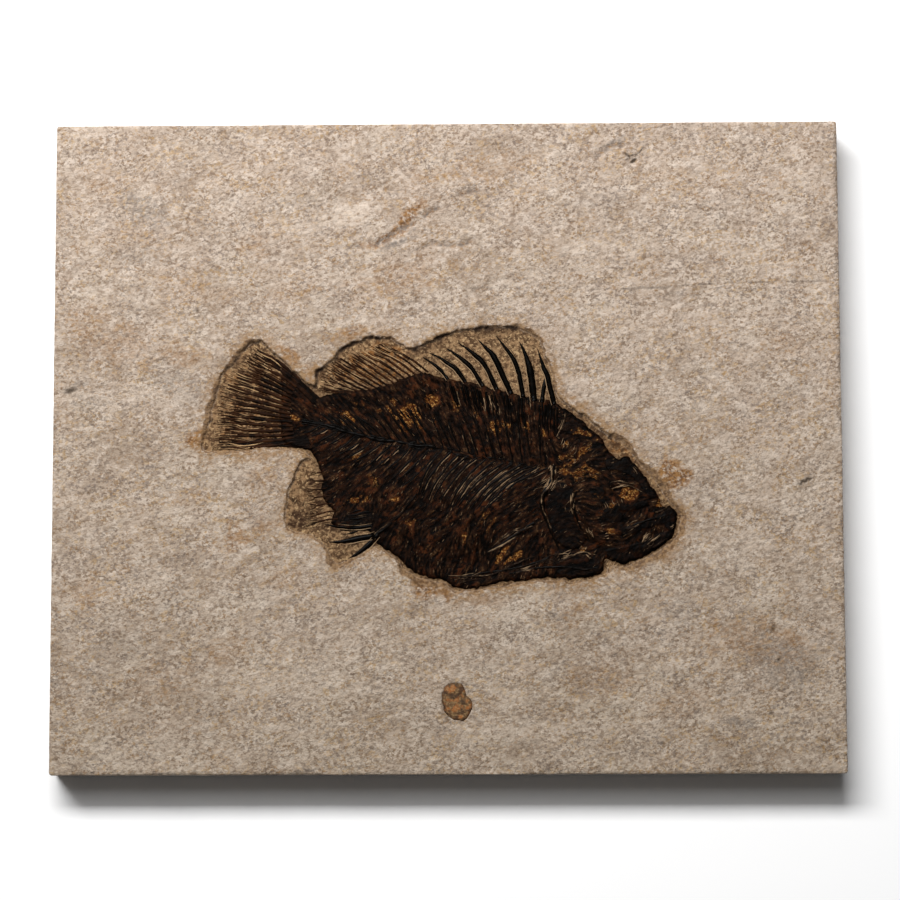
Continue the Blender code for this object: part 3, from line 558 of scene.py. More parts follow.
def buildSlab(material):
    rng = np.random.default_rng(41)
    outline, outward = slabOutline()
    count = len(outline)
    travel = np.arange(count) * slab["edgeStep"]
    nicks = smoothStep(0.45, 0.8, noise(travel, travel * 0.2, 4.0, 52))
    wander = 0.18 * roughNoise(travel, travel * 0.3, 7.0, 51) + 0.5 * nicks
    topInset = np.clip(slab["topInset"] + wander, 0.15, slab["deepestNick"])
    points, triangles = triangulate(outline - outward * topInset[:, None], facePoints(rng))
    z, masks = faceHeight(*points.T)
    parts, faces, start, total = [np.column_stack([points, z])], [triangles], 0, len(points)
    for depth, (inset, height, rough) in enumerate(slab["rings"]):
        push = rough * roughNoise(travel, np.full(count, height), 3.4, 53 + depth % 2)
        if depth == 0:
            push -= 0.5 * (topInset - slab["topInset"])
        place = outline + outward * (push - inset)[:, None]
        parts.append(np.column_stack([place, np.full(count, height)]))
        faces.append(ringWall(start, total, count))
        start, total = total, total + count
    edge = np.array([halfLength, halfWidth]) - 4
    underPoints, underTriangles = triangulate(place, hexLattice(-edge, edge, slab["underStep"], rng))
    parts.append(np.column_stack([underPoints[count:], np.zeros(len(underPoints) - count)]))
    lookup = np.concatenate([np.arange(count) + start, np.arange(len(underPoints) - count) + total])
    faces.append(lookup[underTriangles][:, ::-1])
    everything = np.vstack(parts)
    rest = np.zeros(len(everything) - len(points))
    attributes = {key: np.append(values, rest) for key, values in masks.items()}
    # tone runs from 0 at the lower side to 1 at the upper side; the material darkens the stone by it as
    # painted light falloff
    attributes["tone"] = 0.5 + 0.5 * everything[:, 1] / halfWidth
    return meshObject("limestoneSlab", everything, np.vstack(faces), material, attributes)


def limestoneMaterial():
    # Buff limestone, split and then sandblasted: dead matt and floury, with soft pebbles of 2 to 3 mm,
    # a pinkish cream that brown, grey and ochre grains dot in drifts, stained brown round the fossil.
    # The colour is also painted darker towards the slab's lower side as painted light falloff, and painted
    # shade darkens the foot of the hollow's walls that face away from the light
    look = dict(
        base="#b6a494", roughness=0.93, gloss=0.25, grainTurn=-0.35, grainStretch=1.2,
        # the two ranges here darken the stone towards its lower side: painted light falloff, as the lamps
        # light the upper side more
        tone=(0.76, 1.03), paintedFalloffBlue=(0.73, 1.03),           # at the lower and the upper side
        pebbleMm=2.0, pebbleDepthMm=0.62, flourMm=0.6, flourShare=0.3,
        grains=[                                            # as paint has them
            ("#8b7763", 0.36, ("", 30, 3, 0.46, 0.66)), ("#c9baaa", 0.4, ("", 22, 3, 0.47, 0.65)),
            ("#d7c8ba", 0.5, ("", 3.2, 2, 0.45, 0.65)), ("#84705f", 0.56, ("", 1.7, 2, 0.49, 0.62)),
            ("#725c48", 0.7, ("", 1.4, 2, 0.52, 0.61), ("", 9, 3, 0.38, 0.6)),
            ("#74675f", 0.65, ("", 1.3, 2, 0.53, 0.62), ("", 15, 3, 0.4, 0.6)),
            ("#92704a", 0.6, ("", 1.25, 2, 0.54, 0.64), ("", 8, 3, 0.42, 0.6)),
            ("#b3905f", 0.45, ("", 1.7, 2, 0.53, 0.65), ("", 18, 2, 0.4, 0.6)),
        ],
        stains=[
            ("#93693a", 0.95, ("ochre", 0, 0, 0.1, 1), ("", 1.7, 3, 0.36, 0.58)),
            ("#644225", 0.85, ("ochre", 0, 0, 0.3, 1.0), ("", 1.3, 3, 0.46, 0.58)),
            ("#7f766f", 0.8, ("grey", 0, 0, 0, 1), ("", 1.6, 3, 0.38, 0.58)),
            ("#d8c8b8", 0.6, ("pale", 0, 0, 0, 1), ("", 2.6, 2, 0.36, 0.56)),
            ("#91704b", 0.85, ("halo", 0, 0, 0, 1), ("", 1.7, 4, 0.36, 0.6)),
        ],
        bed="#513a25",                                      # the hollow's floor, round the fish
        bedGrains=[
            ("#8b6d4e", 1.0, ("", 1.6, 4, 0.42, 0.58)), ("#b0926c", 0.9, ("", 1.0, 3, 0.53, 0.64)),
            ("#8a5825", 0.75, ("amber", 0, 0, 0, 1), ("", 1.9, 3, 0.38, 0.62)),
            ("#35200f", 0.95, ("umber", 0, 0, 0, 1), ("", 1.7, 3, 0.36, 0.54)),
        ],
        cut="#573d26", cutGrains=[("#8d6f4f", 1.0, ("", 1.3, 4, 0.4, 0.6))],
        # the first colour here is painted shade, laid at the foot of the walls that face away from the
        # light
        paintedFootShade="#34251a", shore="#513a25", dark="#40352b",
    )
    material, tree, shader = newMaterial("buffLimestone")
    place = node(tree, "ShaderNodeTexCoord").outputs["Object"]
    lain = node(tree, "ShaderNodeMapping", {
        "Vector": place, "Rotation": (0, 0, look["grainTurn"]), "Scale": (1, look["grainStretch"], 1)})
    bed = paint(tree, place, linear(look["bed"]), look["bedGrains"])
    cut = paint(tree, place, linear(look["cut"]), look["cutGrains"])
    colour = paint(tree, lain, linear(look["base"]), look["grains"] + look["stains"])
    colour = paint(tree, place, colour, [
        (over, amount, (name, 0, 0, 0, 1)) for over, amount, name in (
            (bed, 1.0, "matrix"), (cut, 0.85, "wall"), (look["paintedFootShade"], 1.0, "paintedFootShade"),
            (look["shore"], 0.5, "shore"), (look["dark"], 1.0, "dark"))
    ])
    # painted light falloff: the colour is multiplied darker towards the slab's lower side
    share = node(tree, "ShaderNodeAttribute", attribute_name="tone").outputs["Fac"]
    paintedFalloffWarm, paintedFalloffCool = (
        node(tree, "ShaderNodeMapRange", {"Value": share, "To Min": look[key][0], "To Max": look[key][1]})
        for key in ("tone", "paintedFalloffBlue"))
    paintedFalloff = node(tree, "ShaderNodeCombineColor", {"Red": paintedFalloffWarm, "Green": paintedFalloffWarm, "Blue": paintedFalloffCool})
    shaded = node(tree, "ShaderNodeMix", {0: 1.0, 6: colour, 7: paintedFalloff}, data_type="RGBA",
                  blend_type="MULTIPLY").outputs[2]
    pebbles = node(tree, "ShaderNodeTexNoise", {
        "Vector": lain, "Scale": 1 / (look["pebbleMm"] * mm), "Detail": 2.0})
    flour = node(tree, "ShaderNodeTexNoise", {
        "Vector": place, "Scale": 1 / (look["flourMm"] * mm), "Detail": 1.0})
    height = node(tree, "ShaderNodeMath", {0: flour, 1: look["flourShare"], 2: pebbles},
                  operation="MULTIPLY_ADD")
    bump = node(tree, "ShaderNodeBump", {
        "Height": height, "Distance": look["pebbleDepthMm"] * mm, "Strength": 1.0})
    setInputs(tree, shader, {
        "Base Color": shaded, "Roughness": look["roughness"], "Specular IOR Level": look["gloss"],
        "Normal": bump})
    return material


# Fish: one crushed body, with bones and rays swept along their paths on it

bedZ = faceZ - slab["hollowDepth"]
fish = dict(
    skinStep=0.37, fineStreak=(0.6, 1.1, 65), broadStreak=(1.5, 3.2, 66),     # size, reach and seed
    ribbing=0.11, lumps=0.16, grit=0.06, pits=0.14, wornDepth=0.12, lipHeight=0.12, underDepth=0.2,
    plates=[  # outline, rise and blackness of the head's flat bones
        ([(40.6, -15.6), (46, -15), (49.4, -19), (48.8, -25), (50, -31), (53.6, -37), (49, -40.4),
          (43.4, -38.6), (40.2, -31.6), (38.6, -24)], 0.42, 0.75),
        ([(51, -17), (56, -15.5), (61.5, -21), (66, -27.5), (68, -33), (62.5, -38.5), (56, -36.5),
          (52, -30.5), (50.5, -24)], 0.22, 0.25),
        ([(62.5, -4), (66.6, -5.4), (69.4, -5), (73, -8.4), (77.6, -14.6), (81.2, -20), (78, -20.6),
          (72.5, -13.6), (66.5, -10.6), (61.5, -9.4)], 0.42, 0.9),
        ([(61.5, -41), (69, -39.6), (77, -37), (84.5, -33.6), (88, -33.4), (83.6, -38.8), (74, -44),
          (67.2, -46.4), (63, -44)], 0.32, 0.7),
        ([(66.5, -33), (74, -30.4), (81, -28), (84.6, -24.6), (86.4, -23.4), (88.5, -27), (88, -31),
          (83, -31), (76, -33), (69, -35.6)], 0.3, 0.75),
        ([(42, -41.6), (50, -42), (58, -44), (59.4, -48.6), (54.6, -50.6), (46, -51.2),
          (41, -48)], 0.25, 0.7),
        ([(47, 3), (55, 3.4), (61, -1), (60, -8), (53, -12), (46, -10)], 0.16, 0.1),
        ([(60.5, -25.6), (64, -25), (67.6, -26.6), (67, -29.8), (63, -30.6), (60, -28.6)], 0.34, 0.9),
        ([(83.4, -27.4), (84.6, -24.2), (87.2, -24.4), (89.2, -28), (88.8, -32), (85.6, -33.8),
          (83.6, -31)], 0.5, 0.95),
        ([(59.6, -20.2), (64, -23), (70, -23.8), (76.6, -21.8), (77.4, -23.6), (70.6, -26.0),
          (63.6, -25.0), (59, -22)], 0.36, 0.85),
        ([(55.6, -17.4), (59.6, -16.6), (61.2, -18.8), (58.8, -21.2), (55.8, -20.4)], 0.3, 0.7),
        ([(72, -40.4), (78, -38), (84, -34.6), (86, -35.8), (80.4, -39.8), (73.4, -43)], 0.5, 0.9),
        ([(44, 6), (48.6, 9.4), (53.6, 6.6), (57.4, 3.4), (54, 1.6), (48, 4)], 0.2, 0.7),
    ],
    socket=(68.3, -18.8, 5.4, 3.0, -8), socketDepth=0.5,
    ochre=[
        (-13, 12, 9, 6, 0, 0.75), (-6, 17, 3, 2.5, 0, 0.8), (-24, 14, 5, 5, 0, 0.45),
        (-38, 10, 4, 3, 0, 0.7), (-34, 15, 3, 2, 0, 0.4), (-58, 11, 2.6, 2, 0, 1.0),
        (20, 7, 4, 3.5, 0, 0.65), (27, 8, 2.5, 3, 0, 0.7), (31, 7, 1.5, 3, 0, 0.6),
        (37, 4, 1.5, 2, 0, 0.6), (46, 0, 2.5, 1.6, 30, 0.8), (12, 14, 3, 6, 0, 0.3),
        (4, 16, 2, 4, 0, 0.35), (16, -31, 4, 6, 0, 0.3), (8, -35.5, 2, 2.5, 0, 0.8),
        (24, -42.5, 5, 2.6, 0, 0.8), (21.8, -44.3, 3.0, 2.0, 0, 1.6), (-20.5, -21, 2.2, 1.2, 0, 0.9),
        (-34, -21, 4.5, 2, 0, 0.45), (-14, -29.5, 3, 2, 0, 0.35), (-33, -4, 4, 3, 0, 0.4),
        (-15, -9, 5, 3, 0, 0.25), (58, -20, 3, 2, 0, 0.4), (65, -24, 2.5, 1.5, 0, 0.5),
        (63, -34, 3, 2.5, 0, 0.35), (52, -40.5, 1.6, 1.5, 0, 0.9), (82.5, -22.5, 2.0, 2.2, 0, 0.9),
        (68.5, -19, 4.6, 2.3, -8, 1.0), (54, -2, 5, 1.6, 35, 0.55), (50, -8, 8, 6, 0, 0.42),
        (54, 2, 6, 3, -35, 0.4), (47, 8, 2.4, 4, 0, 0.4), (57, -11, 4, 4, 0, 0.35), (51, 8, 2, 3, 0, 0.3),
        (43.5, -6, 1.5, 2.5, 0, 0.6), (0, 3, 5, 2, 0, 0.25), (-28, -14, 6, 3, -30, 0.25),
    ],
    inky=[
        (44.5, -22, 5, 4.5, 0, 0.9), (32.7, -22.7, 1.8, 2.4, 0, 0.9), (62, -40.5, 3, 1.5, 0, 0.7),
        (63, -27.2, 3.5, 1.1, 0, 0.8), (68.5, -28.5, 1.2, 1.2, 0, 0.8), (8.7, -52.5, 2.4, 1.6, 0, 0.9),
        (13.5, -52.5, 2, 1.3, 0, 0.9), (-38, 6.2, 8, 1.8, 0, 0.85), (-57, 25, 7, 2.4, 38, 0.9),
        (-58, 2.4, 6, 2.2, 0, 0.85), (50, -46, 6, 3, 0, 0.8), (56, 4, 2, 3, 0, 0.5),
        (86.5, -28, 1.8, 3.5, 0, 0.9), (-33, -28.6, 10, 3, 5, 0.9), (58, -1.5, 4, 3, -50, 0.6),
        (-52, 12, 5, 8, 0, 0.2), (-28, -32, 8, 2.2, 20, 0.5),
    ],
)


def flowAngle(x, y):  # the way that scales and splinters lie, in radians
    path = smoothPath(backboneLine, 4.0)
    _, share = pathDistance(x, y, path)                # 0 at the tail, 1 at the head
    spineY = np.interp(x, path[:, 0], path[:, 1])
    above = smoothStep(-1.0, 1.0, y - spineY)
    upper = 96 + 46 * (1 - share)                      # along the spines over the backbone
    lower = 210 + 22 * smoothStep(0.93, 0.6, share) - 24 * smoothStep(0.5, 0.1, share)      # as the ribs
    lower = lower + smoothStep(16, 30, spineY - y) * (14 + 40 * noise(x, y, 9.0, 61))
    head = smoothStep(40, 48, x)
    loose = 200 + 60 * noise(x, y, 8.0, 62)            # every way on the head
    return np.radians((1 - head) * (lower + (upper - lower) * above) + head * loose)


def streaks(x, y, angle, size, reach, seed):  # noise drawn out along the flow
    steps = np.linspace(-1, 1, 9) * reach
    total = sum(noise(x + step * np.cos(angle), y + step * np.sin(angle), size, seed) for step in steps)
    return np.clip(total / len(steps) * 2.3, -1.2, 1.2)


plateLoops = [(smoothPath(outline, 1.6, closed=True), *rest) for outline, *rest in fish["plates"]]
broadLoop = skinLoop[::3]


def surface(x, y):  # the broad shape that bones lie on: the body, or the hollow's floor off it
    x, y = np.atleast_1d(x), np.atleast_1d(y)
    onBody = smoothStep(0.3, -1.1, signedDistance(x, y, broadLoop))
    return bedZ + (bodyHeight(x, y) + plateRise(x, y)[0] - bedZ) * onBody


def plateRise(x, y):  # how far the head's flat bones stand out, and how black they are
    rise, black = np.zeros(x.shape), np.zeros(x.shape)
    near = x > 36
    if not np.any(near):
        return rise, black
    for outline, height, blackness in plateLoops:
        gap = signedDistance(x[near], y[near], outline)
        gap = gap + 0.25 * noise(x[near], y[near], 1.3, 63)
        inside = smoothStep(0.22, -0.22, gap)
        rise[near] = np.maximum(rise[near], height * inside)
        black[near] = np.maximum(black[near], blackness * inside)
    return rise, black


def skinRelief(x, y):
    edge = -signedDistance(x, y, skinLoop)
    rise, black = plateRise(x, y)
    angle = flowAngle(x, y)
    fine = streaks(x, y, angle, *fish["fineStreak"])
    broad = streaks(x, y, angle, *fish["broadStreak"])
    inky = np.maximum(patches(x, y, fish["inky"], 0.3, 67), black)
    pit = smoothStep(0.25, 0.6, roughNoise(x, y, 3.4, 68) - 0.5 * inky)
    frayed = smoothStep(-0.5, 0.45, broad + 0.5 * roughNoise(x, y, 1.6, 70))
    ochre = patches(x, y, fish["ochre"], 0.6, 69) * frayed
    z = bodyHeight(x, y) + rise
    z += fish["lumps"] * (roughNoise(x, y, 6.0, 71) + 0.5 * noise(x, y, 2.4, 72))
    z += fish["ribbing"] * (0.6 * broad + 0.7 * fine) * (1 - 0.6 * inky)
    z += fish["grit"] * noise(x, y, 0.8, 73)
    z -= fish["pits"] * pit + fish["wornDepth"] * ochre
    z -= fish["socketDepth"] * smoothStep(1.15, 0.6, ovalReach(x, y, *fish["socket"]))
    lip = bedZ + fish["lipHeight"]
    z = lip + (z - lip) * smoothStep(-0.35, 0.95, edge + 0.25 * noise(x, y, 1.1, 74))
    crop = smoothStep(0.5, 1.4, edge) * (1 - 0.75 * inky) * (1 - 0.4 * ochre)      # where splinters lie
    return z, dict(ochre=(ochre, 0), inky=(inky, 0), streak=(fine, 0), broad=(broad, 0), flow=(angle, 0),
                   edge=(smoothStep(1.6, 0.2, edge), 1), crop=(crop, 0))


def skinMaterial():
    # Skin and scales turned to mineral: near-black brown, satin where it is whole,
    # streaked with rust and ochre where it has worn down to the stone
    look = dict(
        base="#050302", worn="#3c1c0b", dull=0.5, polished=0.36, ochreDull=0.3, gloss=0.02,
        scaleMm=0.55, gritMm=0.25, depthMm=0.1,
        layers=[
            ("#1f1109", 1.0, ("streak", 0, 0, -0.6, 0.5)),
            ("#402110", 0.85, ("", 3.2, 4, 0.47, 0.61), ("broad", 0, 0, -0.4, 0.9)),
            ("#60452c", 0.4, ("streak", 0, 0, 0.45, 0.95), ("", 0.7, 2, 0.4, 0.6)),
            ("#050505", 0.8, ("inky", 0, 0, 0, 1)),
        ],
        wornLayers=[
            ("#5e3815", 1.0, ("", 0.9, 3, 0.44, 0.58)), ("#a37a45", 0.85, ("", 0.7, 2, 0.53, 0.63)),
        ],
    )
    material, tree, shader = newMaterial("mineralisedSkin")
    place = node(tree, "ShaderNodeTexCoord").outputs["Object"]
    worn = paint(tree, place, linear(look["worn"]), look["wornLayers"])
    colour = paint(tree, place, linear(look["base"]), look["layers"] + [
        (worn, 1.0, ("ochre", 1.3, 3, 0.65, 1.02), ("ochre", 0, 0, 0.05, 0.3)),
        (look["base"], 0.35, ("edge", 0, 0, 0, 1)),
    ])
    inky = node(tree, "ShaderNodeAttribute", attribute_name="inky").outputs["Fac"]
    ochre = node(tree, "ShaderNodeAttribute", attribute_name="ochre").outputs["Fac"]
    sheen = node(tree, "ShaderNodeMapRange", {
        "Value": inky, "To Min": look["dull"], "To Max": look["polished"]})
    rough = node(tree, "ShaderNodeMath", {0: ochre, 1: look["ochreDull"], 2: sheen},
                 operation="MULTIPLY_ADD")
    scales = node(tree, "ShaderNodeTexNoise", {
        "Vector": place, "Scale": 1 / (look["scaleMm"] * mm), "Detail": 2.0})
    grit = node(tree, "ShaderNodeTexNoise", {
        "Vector": place, "Scale": 1 / (look["gritMm"] * mm), "Detail": 1.0})
    height = node(tree, "ShaderNodeMath", {0: scales, 1: grit}, operation="ADD")
    bump = node(tree, "ShaderNodeBump", {
        "Height": height, "Distance": look["depthMm"] * mm, "Strength": 0.9})
    setInputs(tree, shader, {
        "Base Color": colour, "Roughness": rough, "Specular IOR Level": look["gloss"], "Normal": bump})
    return material


def groupInputs(tree, sockets):  # the tree's named inputs, as kind and value
    for name, (kind, value) in sockets.items():
        socket = tree.interface.new_socket(name, in_out="INPUT", socket_type="NodeSocket" + kind)
        if value is not None:
            socket.default_value = value
    return node(tree, "NodeGroupInput").outputs


def makeSweepTree():  # sweeps a flattened, beaded and slightly wavering section along polylines
    tree = bpy.data.node_groups.new("sweepBones", "GeometryNodeTree")
    given = groupInputs(tree, {
        "Paths": ("Geometry", None), "Sides": ("Int", 6), "Flatten": ("Float", 0.6),
        "Bead Length": ("Float", 0.0012), "Bead Depth": ("Float", 0.1),
        "Waver": ("Float", 0.0001), "Waver Size": ("Float", 0.002), "Material": ("Material", None),
    })
    tree.interface.new_socket("Bones", in_out="OUTPUT", socket_type="NodeSocketGeometry")
    curves = node(tree, "GeometryNodeMeshToCurve", {"Mesh": given["Paths"]})
    normals = node(tree, "GeometryNodeSetCurveNormal", {"Curve": curves}, mode="Z_UP")
    length = node(tree, "GeometryNodeSplineParameter").outputs["Length"]
    travel = node(tree, "ShaderNodeMath", {0: length, 1: 2 * math.pi}, operation="MULTIPLY")
    phase = node(tree, "ShaderNodeMath", {0: travel, 1: given["Bead Length"]}, operation="DIVIDE")
    wave = node(tree, "ShaderNodeMath", {0: phase}, operation="SINE")
    swell = node(tree, "ShaderNodeMath", {0: wave, 1: given["Bead Depth"], 2: 1.0},
                 operation="MULTIPLY_ADD")
    radius = node(tree, "GeometryNodeInputNamedAttribute", {"Name": "radius"}, data_type="FLOAT")
    beaded = node(tree, "ShaderNodeMath", {0: radius, 1: swell}, operation="MULTIPLY")
    section = node(tree, "GeometryNodeCurvePrimitiveCircle", {"Resolution": given["Sides"], "Radius": 1.0})
    flat = node(tree, "ShaderNodeCombineXYZ", {0: 1.0, 1: given["Flatten"], 2: 1.0})
    section = node(tree, "GeometryNodeTransform", {"Geometry": section, "Scale": flat})
    swept = node(tree, "GeometryNodeCurveToMesh", {
        "Curve": normals, "Profile Curve": section, "Scale": beaded, "Fill Caps": True})
    place = node(tree, "GeometryNodeInputPosition")
    size = node(tree, "ShaderNodeMath", {0: 1.0, 1: given["Waver Size"]}, operation="DIVIDE")
    waves = node(tree, "ShaderNodeTexNoise", {"Vector": place, "Scale": size, "Detail": 2.0})
    push = node(tree, "ShaderNodeVectorMath", {0: waves.outputs["Color"], 1: (0.5, 0.5, 0.5)},
                operation="SUBTRACT")
    push = node(tree, "ShaderNodeVectorMath", {0: push, "Scale": given["Waver"]}, operation="SCALE")
    moved = node(tree, "GeometryNodeSetPosition", {"Geometry": swept, "Offset": push})
    smooth = node(tree, "GeometryNodeSetShadeSmooth", {0: moved, "Shade Smooth": True})
    real = node(tree, "GeometryNodeRealizeInstances", {"Geometry": smooth})
    painted = node(tree, "GeometryNodeSetMaterial", {"Geometry": real, "Material": given["Material"]})
    node(tree, "NodeGroupOutput", {0: painted})
    return tree


def makeScatterTree():  # strews splinters of scale on a surface, each along the flow there
    tree = bpy.data.node_groups.new("strewSplinters", "GeometryNodeTree")
    given = groupInputs(tree, {
        "Surface": ("Geometry", None), "Density": ("Float", 1e6), "Smallest": ("Vector", (0.5, 0.2, 0.1)),
        "Largest": ("Vector", (1.0, 0.4, 0.2)), "Stray": ("Float", 0.2), "Rareness": ("Float", 5.0),
        "Seed": ("Int", 1), "Material": ("Material", None),
    })
    tree.interface.new_socket("Splinters", in_out="OUTPUT", socket_type="NodeSocketGeometry")
    crop = node(tree, "GeometryNodeInputNamedAttribute", {"Name": "crop"}, data_type="FLOAT")
    dense = node(tree, "ShaderNodeMath", {0: crop, 1: given["Density"]}, operation="MULTIPLY")
    spots = node(tree, "GeometryNodeDistributePointsOnFaces", {
        "Mesh": given["Surface"], "Density": dense, "Seed": given["Seed"]}, distribute_method="RANDOM")
    flow = node(tree, "GeometryNodeInputNamedAttribute", {"Name": "flow"}, data_type="FLOAT")
    dice = node(tree, "FunctionNodeRandomValue", {
        "Min": (0, 0, 0), "Max": (1, 1, 1), "Seed": given["Seed"]}, data_type="FLOAT_VECTOR")
    dice = node(tree, "ShaderNodeSeparateXYZ", {0: dice}).outputs
    limit = node(tree, "ShaderNodeMath", {0: given["Stray"], 1: -1.0}, operation="MULTIPLY")
    turn = node(tree, "ShaderNodeMapRange", {"Value": dice[0], "To Min": limit, "To Max": given["Stray"]})
    angle = node(tree, "ShaderNodeMath", {0: flow, 1: turn}, operation="ADD")
    spin = node(tree, "FunctionNodeAxisAngleToRotation", {"Axis": (0, 0, 1), "Angle": angle})
    facing = node(tree, "FunctionNodeAlignRotationToVector", {
        "Rotation": spin, "Vector": spots.outputs["Normal"]}, axis="Z")
    size = node(tree, "FunctionNodeRandomValue", {
        "Min": given["Smallest"], "Max": given["Largest"], "Seed": given["Seed"]}, data_type="FLOAT_VECTOR")
    ball = node(tree, "GeometryNodeMeshIcoSphere", {"Radius": 1 * mm, "Subdivisions": 1})
    strewn = node(tree, "GeometryNodeInstanceOnPoints", {
        "Points": spots, "Instance": ball, "Rotation": facing, "Scale": size})
    tone = node(tree, "ShaderNodeMath", {0: dice[2], 1: given["Rareness"]}, operation="POWER")
    shaded = node(tree, "GeometryNodeStoreNamedAttribute", {
        "Geometry": strewn, "Name": "tone", "Value": tone}, data_type="FLOAT", domain="INSTANCE")
    real = node(tree, "GeometryNodeRealizeInstances", {"Geometry": shaded})
    painted = node(tree, "GeometryNodeSetMaterial", {"Geometry": real, "Material": given["Material"]})
    node(tree, "NodeGroupOutput", {0: painted})
    return tree


def runTree(name, source, tree, settings):  # the tree's result as a plain mesh object at the origin
    modifier = source.modifiers.new("grow", "NODES")
    modifier.node_group = tree
    for item in tree.interface.items_tree:
        if item.in_out == "INPUT" and item.name in settings:
            modifier[item.identifier] = settings[item.name]
    graph = bpy.context.evaluated_depsgraph_get()
    mesh = bpy.data.meshes.new_from_object(source.evaluated_get(graph))
    mesh.name = name
    source.modifiers.remove(modifier)
    made = bpy.data.objects.new(name, mesh)
    scene.collection.objects.link(made)
    print(name + ":", len(mesh.polygons), "faces")
    return made


def strand(path, widths, tone, lift=0.0, spacing=0.7, sway=0.0, seed=0):
    # One bone: its points, its half widths and lifts spread along it, and its tone from 0 black to
    # 1 pale; seed picks the way it sways
    places = np.linspace(0, 1, len(path))
    radii = np.interp(places, np.linspace(0, 1, len(widths)), widths)
    p = smoothPath(np.column_stack([np.array(path, float), radii]), spacing)
    if sway:
        fall = np.sin(np.linspace(0, math.pi, len(p)))
        p[:, 0] += sway * fall * noise(p[:, 0], p[:, 1], 5.0, 80 + seed)
        p[:, 1] += sway * fall * noise(p[:, 0], p[:, 1], 5.0, 90 + seed)
    lift = np.atleast_1d(lift)
    z = surface(p[:, 0], p[:, 1])
    z += np.interp(np.linspace(0, 1, len(p)), np.linspace(0, 1, len(lift)), lift)
    tones = tone * (0.78 + 0.35 * noise(p[:, 0], p[:, 1], 3.4, 98)) if tone > 0.3 else tone
    return dict(points=np.column_stack([p[:, :2], z]), radii=p[:, 2], tone=tones)


def sweep(name, strands, tree, settings):  # all of a piece's bones, swept along their paths
    source = bpy.data.meshes.new(name + "Paths")
    counts = [len(item["points"]) for item in strands]
    source.vertices.add(sum(counts))
    points = np.vstack([item["points"] for item in strands]) * mm
    source.vertices.foreach_set("co", points.astype(np.float32).ravel())
    starts = np.cumsum([0] + counts[:-1])
    pairs = np.vstack([
        start + np.column_stack([np.arange(n - 1), np.arange(1, n)]) for start, n in zip(starts, counts)])
    source.edges.add(len(pairs))
    source.edges.foreach_set("vertices", pairs.astype(np.int32).ravel())
    values = dict(
        radius=np.concatenate([item["radii"] for item in strands]) * mm,
        tone=np.concatenate([np.broadcast_to(item["tone"], n) for item, n in zip(strands, counts)]),
    )
    for key, numbers in values.items():
        source.attributes.new(key, "FLOAT", "POINT").data.foreach_set("value", numbers.astype(np.float32))
    source.update()
    holder = bpy.data.objects.new(name + "Paths", source)
    scene.collection.objects.link(holder)
    made = runTree(name, holder, tree, settings)
    bpy.data.objects.remove(holder)
    return made


def between(pair, share):  # from the first of a pair to the second
    return pair[0] + (pair[1] - pair[0]) * share


def boneMaterial(name, look):
    # Fossil bone: dense and dark with a soft polish, brown at middle tones and pale at high tones, where
    # pale threads stand for chipped edges and painted highlights along the bones, and with a fine grain
    # of under half a millimetre
    material, tree, shader = newMaterial(name)
    place = node(tree, "ShaderNodeTexCoord").outputs["Object"]
    colour = paint(tree, place, linear(look["dark"]), [
        (look["middle"], 1.0, ("tone", look["mottleMm"], 3, 0.5, 1.0)),
        (look["pale"], 1.0, ("tone", look["mottleMm"], 3, 1.0, 1.5)),
    ])
    grain = node(tree, "ShaderNodeTexNoise", {"Vector": place, "Scale": 1 / (0.4 * mm), "Detail": 2.0})
    bump = node(tree, "ShaderNodeBump", {"Height": grain, "Distance": 0.06 * mm, "Strength": 0.8})
    setInputs(tree, shader, {
        "Base Color": colour, "Roughness": look["roughness"], "Specular IOR Level": look["gloss"],
        "Normal": bump})
    return material


# Backbone, with the spines above and below it and the ribs

spine = dict(  # each pair runs from the head end to the tail end
    neural=24, neuralPlaces=(0.96, 0.16), neuralLengths=(23.0, 11.0), neuralLeans=(3.0, 52.0),
    haemal=14, haemalPlaces=(0.56, 0.08), haemalLengths=(22.0, 8.0), haemalLeans=(40.0, 62.0),
    rib=13, ribPlaces=(0.99, 0.57), ribLengths=(28.0, 20.0), ribSlopes=(27.0, 52.0), ribDroop=15.0,
    barStep=1.15, barEnds=(-2.0, 43.0),
)


def backboneStrands():
    path = smoothPath(backboneLine, 1.0)
    lift = [0.0, 0.0, -0.15, -0.35, -0.4, -0.4]
    beside = [0.05, 0, -0.15, -0.2, -0.2]
    return [
        strand(path, [0.6, 0.8, 0.75, 0.7, 0.7], 0.0, lift=lift, sway=0.7),
        strand(path + (0.2, 0.8), [0.3, 0.5, 0.4, 0.4], 0.0, lift=beside, sway=1.2, seed=3),
        strand(path - (0.2, 0.8), [0.3, 0.4, 0.45, 0.4], 0.1, lift=beside, sway=1.2, seed=5),
    ]


def spike(root, degrees, bow, reach, threads, seed):
    # One spine or rib, as threads side by side: offset, tone, half width, and start and end along it
    strands = []
    for offset, tone, width, first, last in threads:
        angle = math.radians(degrees)
        side = np.array([math.sin(angle), -math.cos(angle)]) * offset
        steps = np.linspace(first, last, 5)
        turns = np.radians(degrees + bow * (steps - 0.5))
        points = [root + side + reach * share * np.array([math.cos(turn), math.sin(turn)])
                  for share, turn in zip(steps, turns)]
        strands.append(strand(points, [width * 0.7, width, width, width * 0.5], tone, lift=0.03, sway=0.35,
                              spacing=0.6, seed=seed))
    return strands


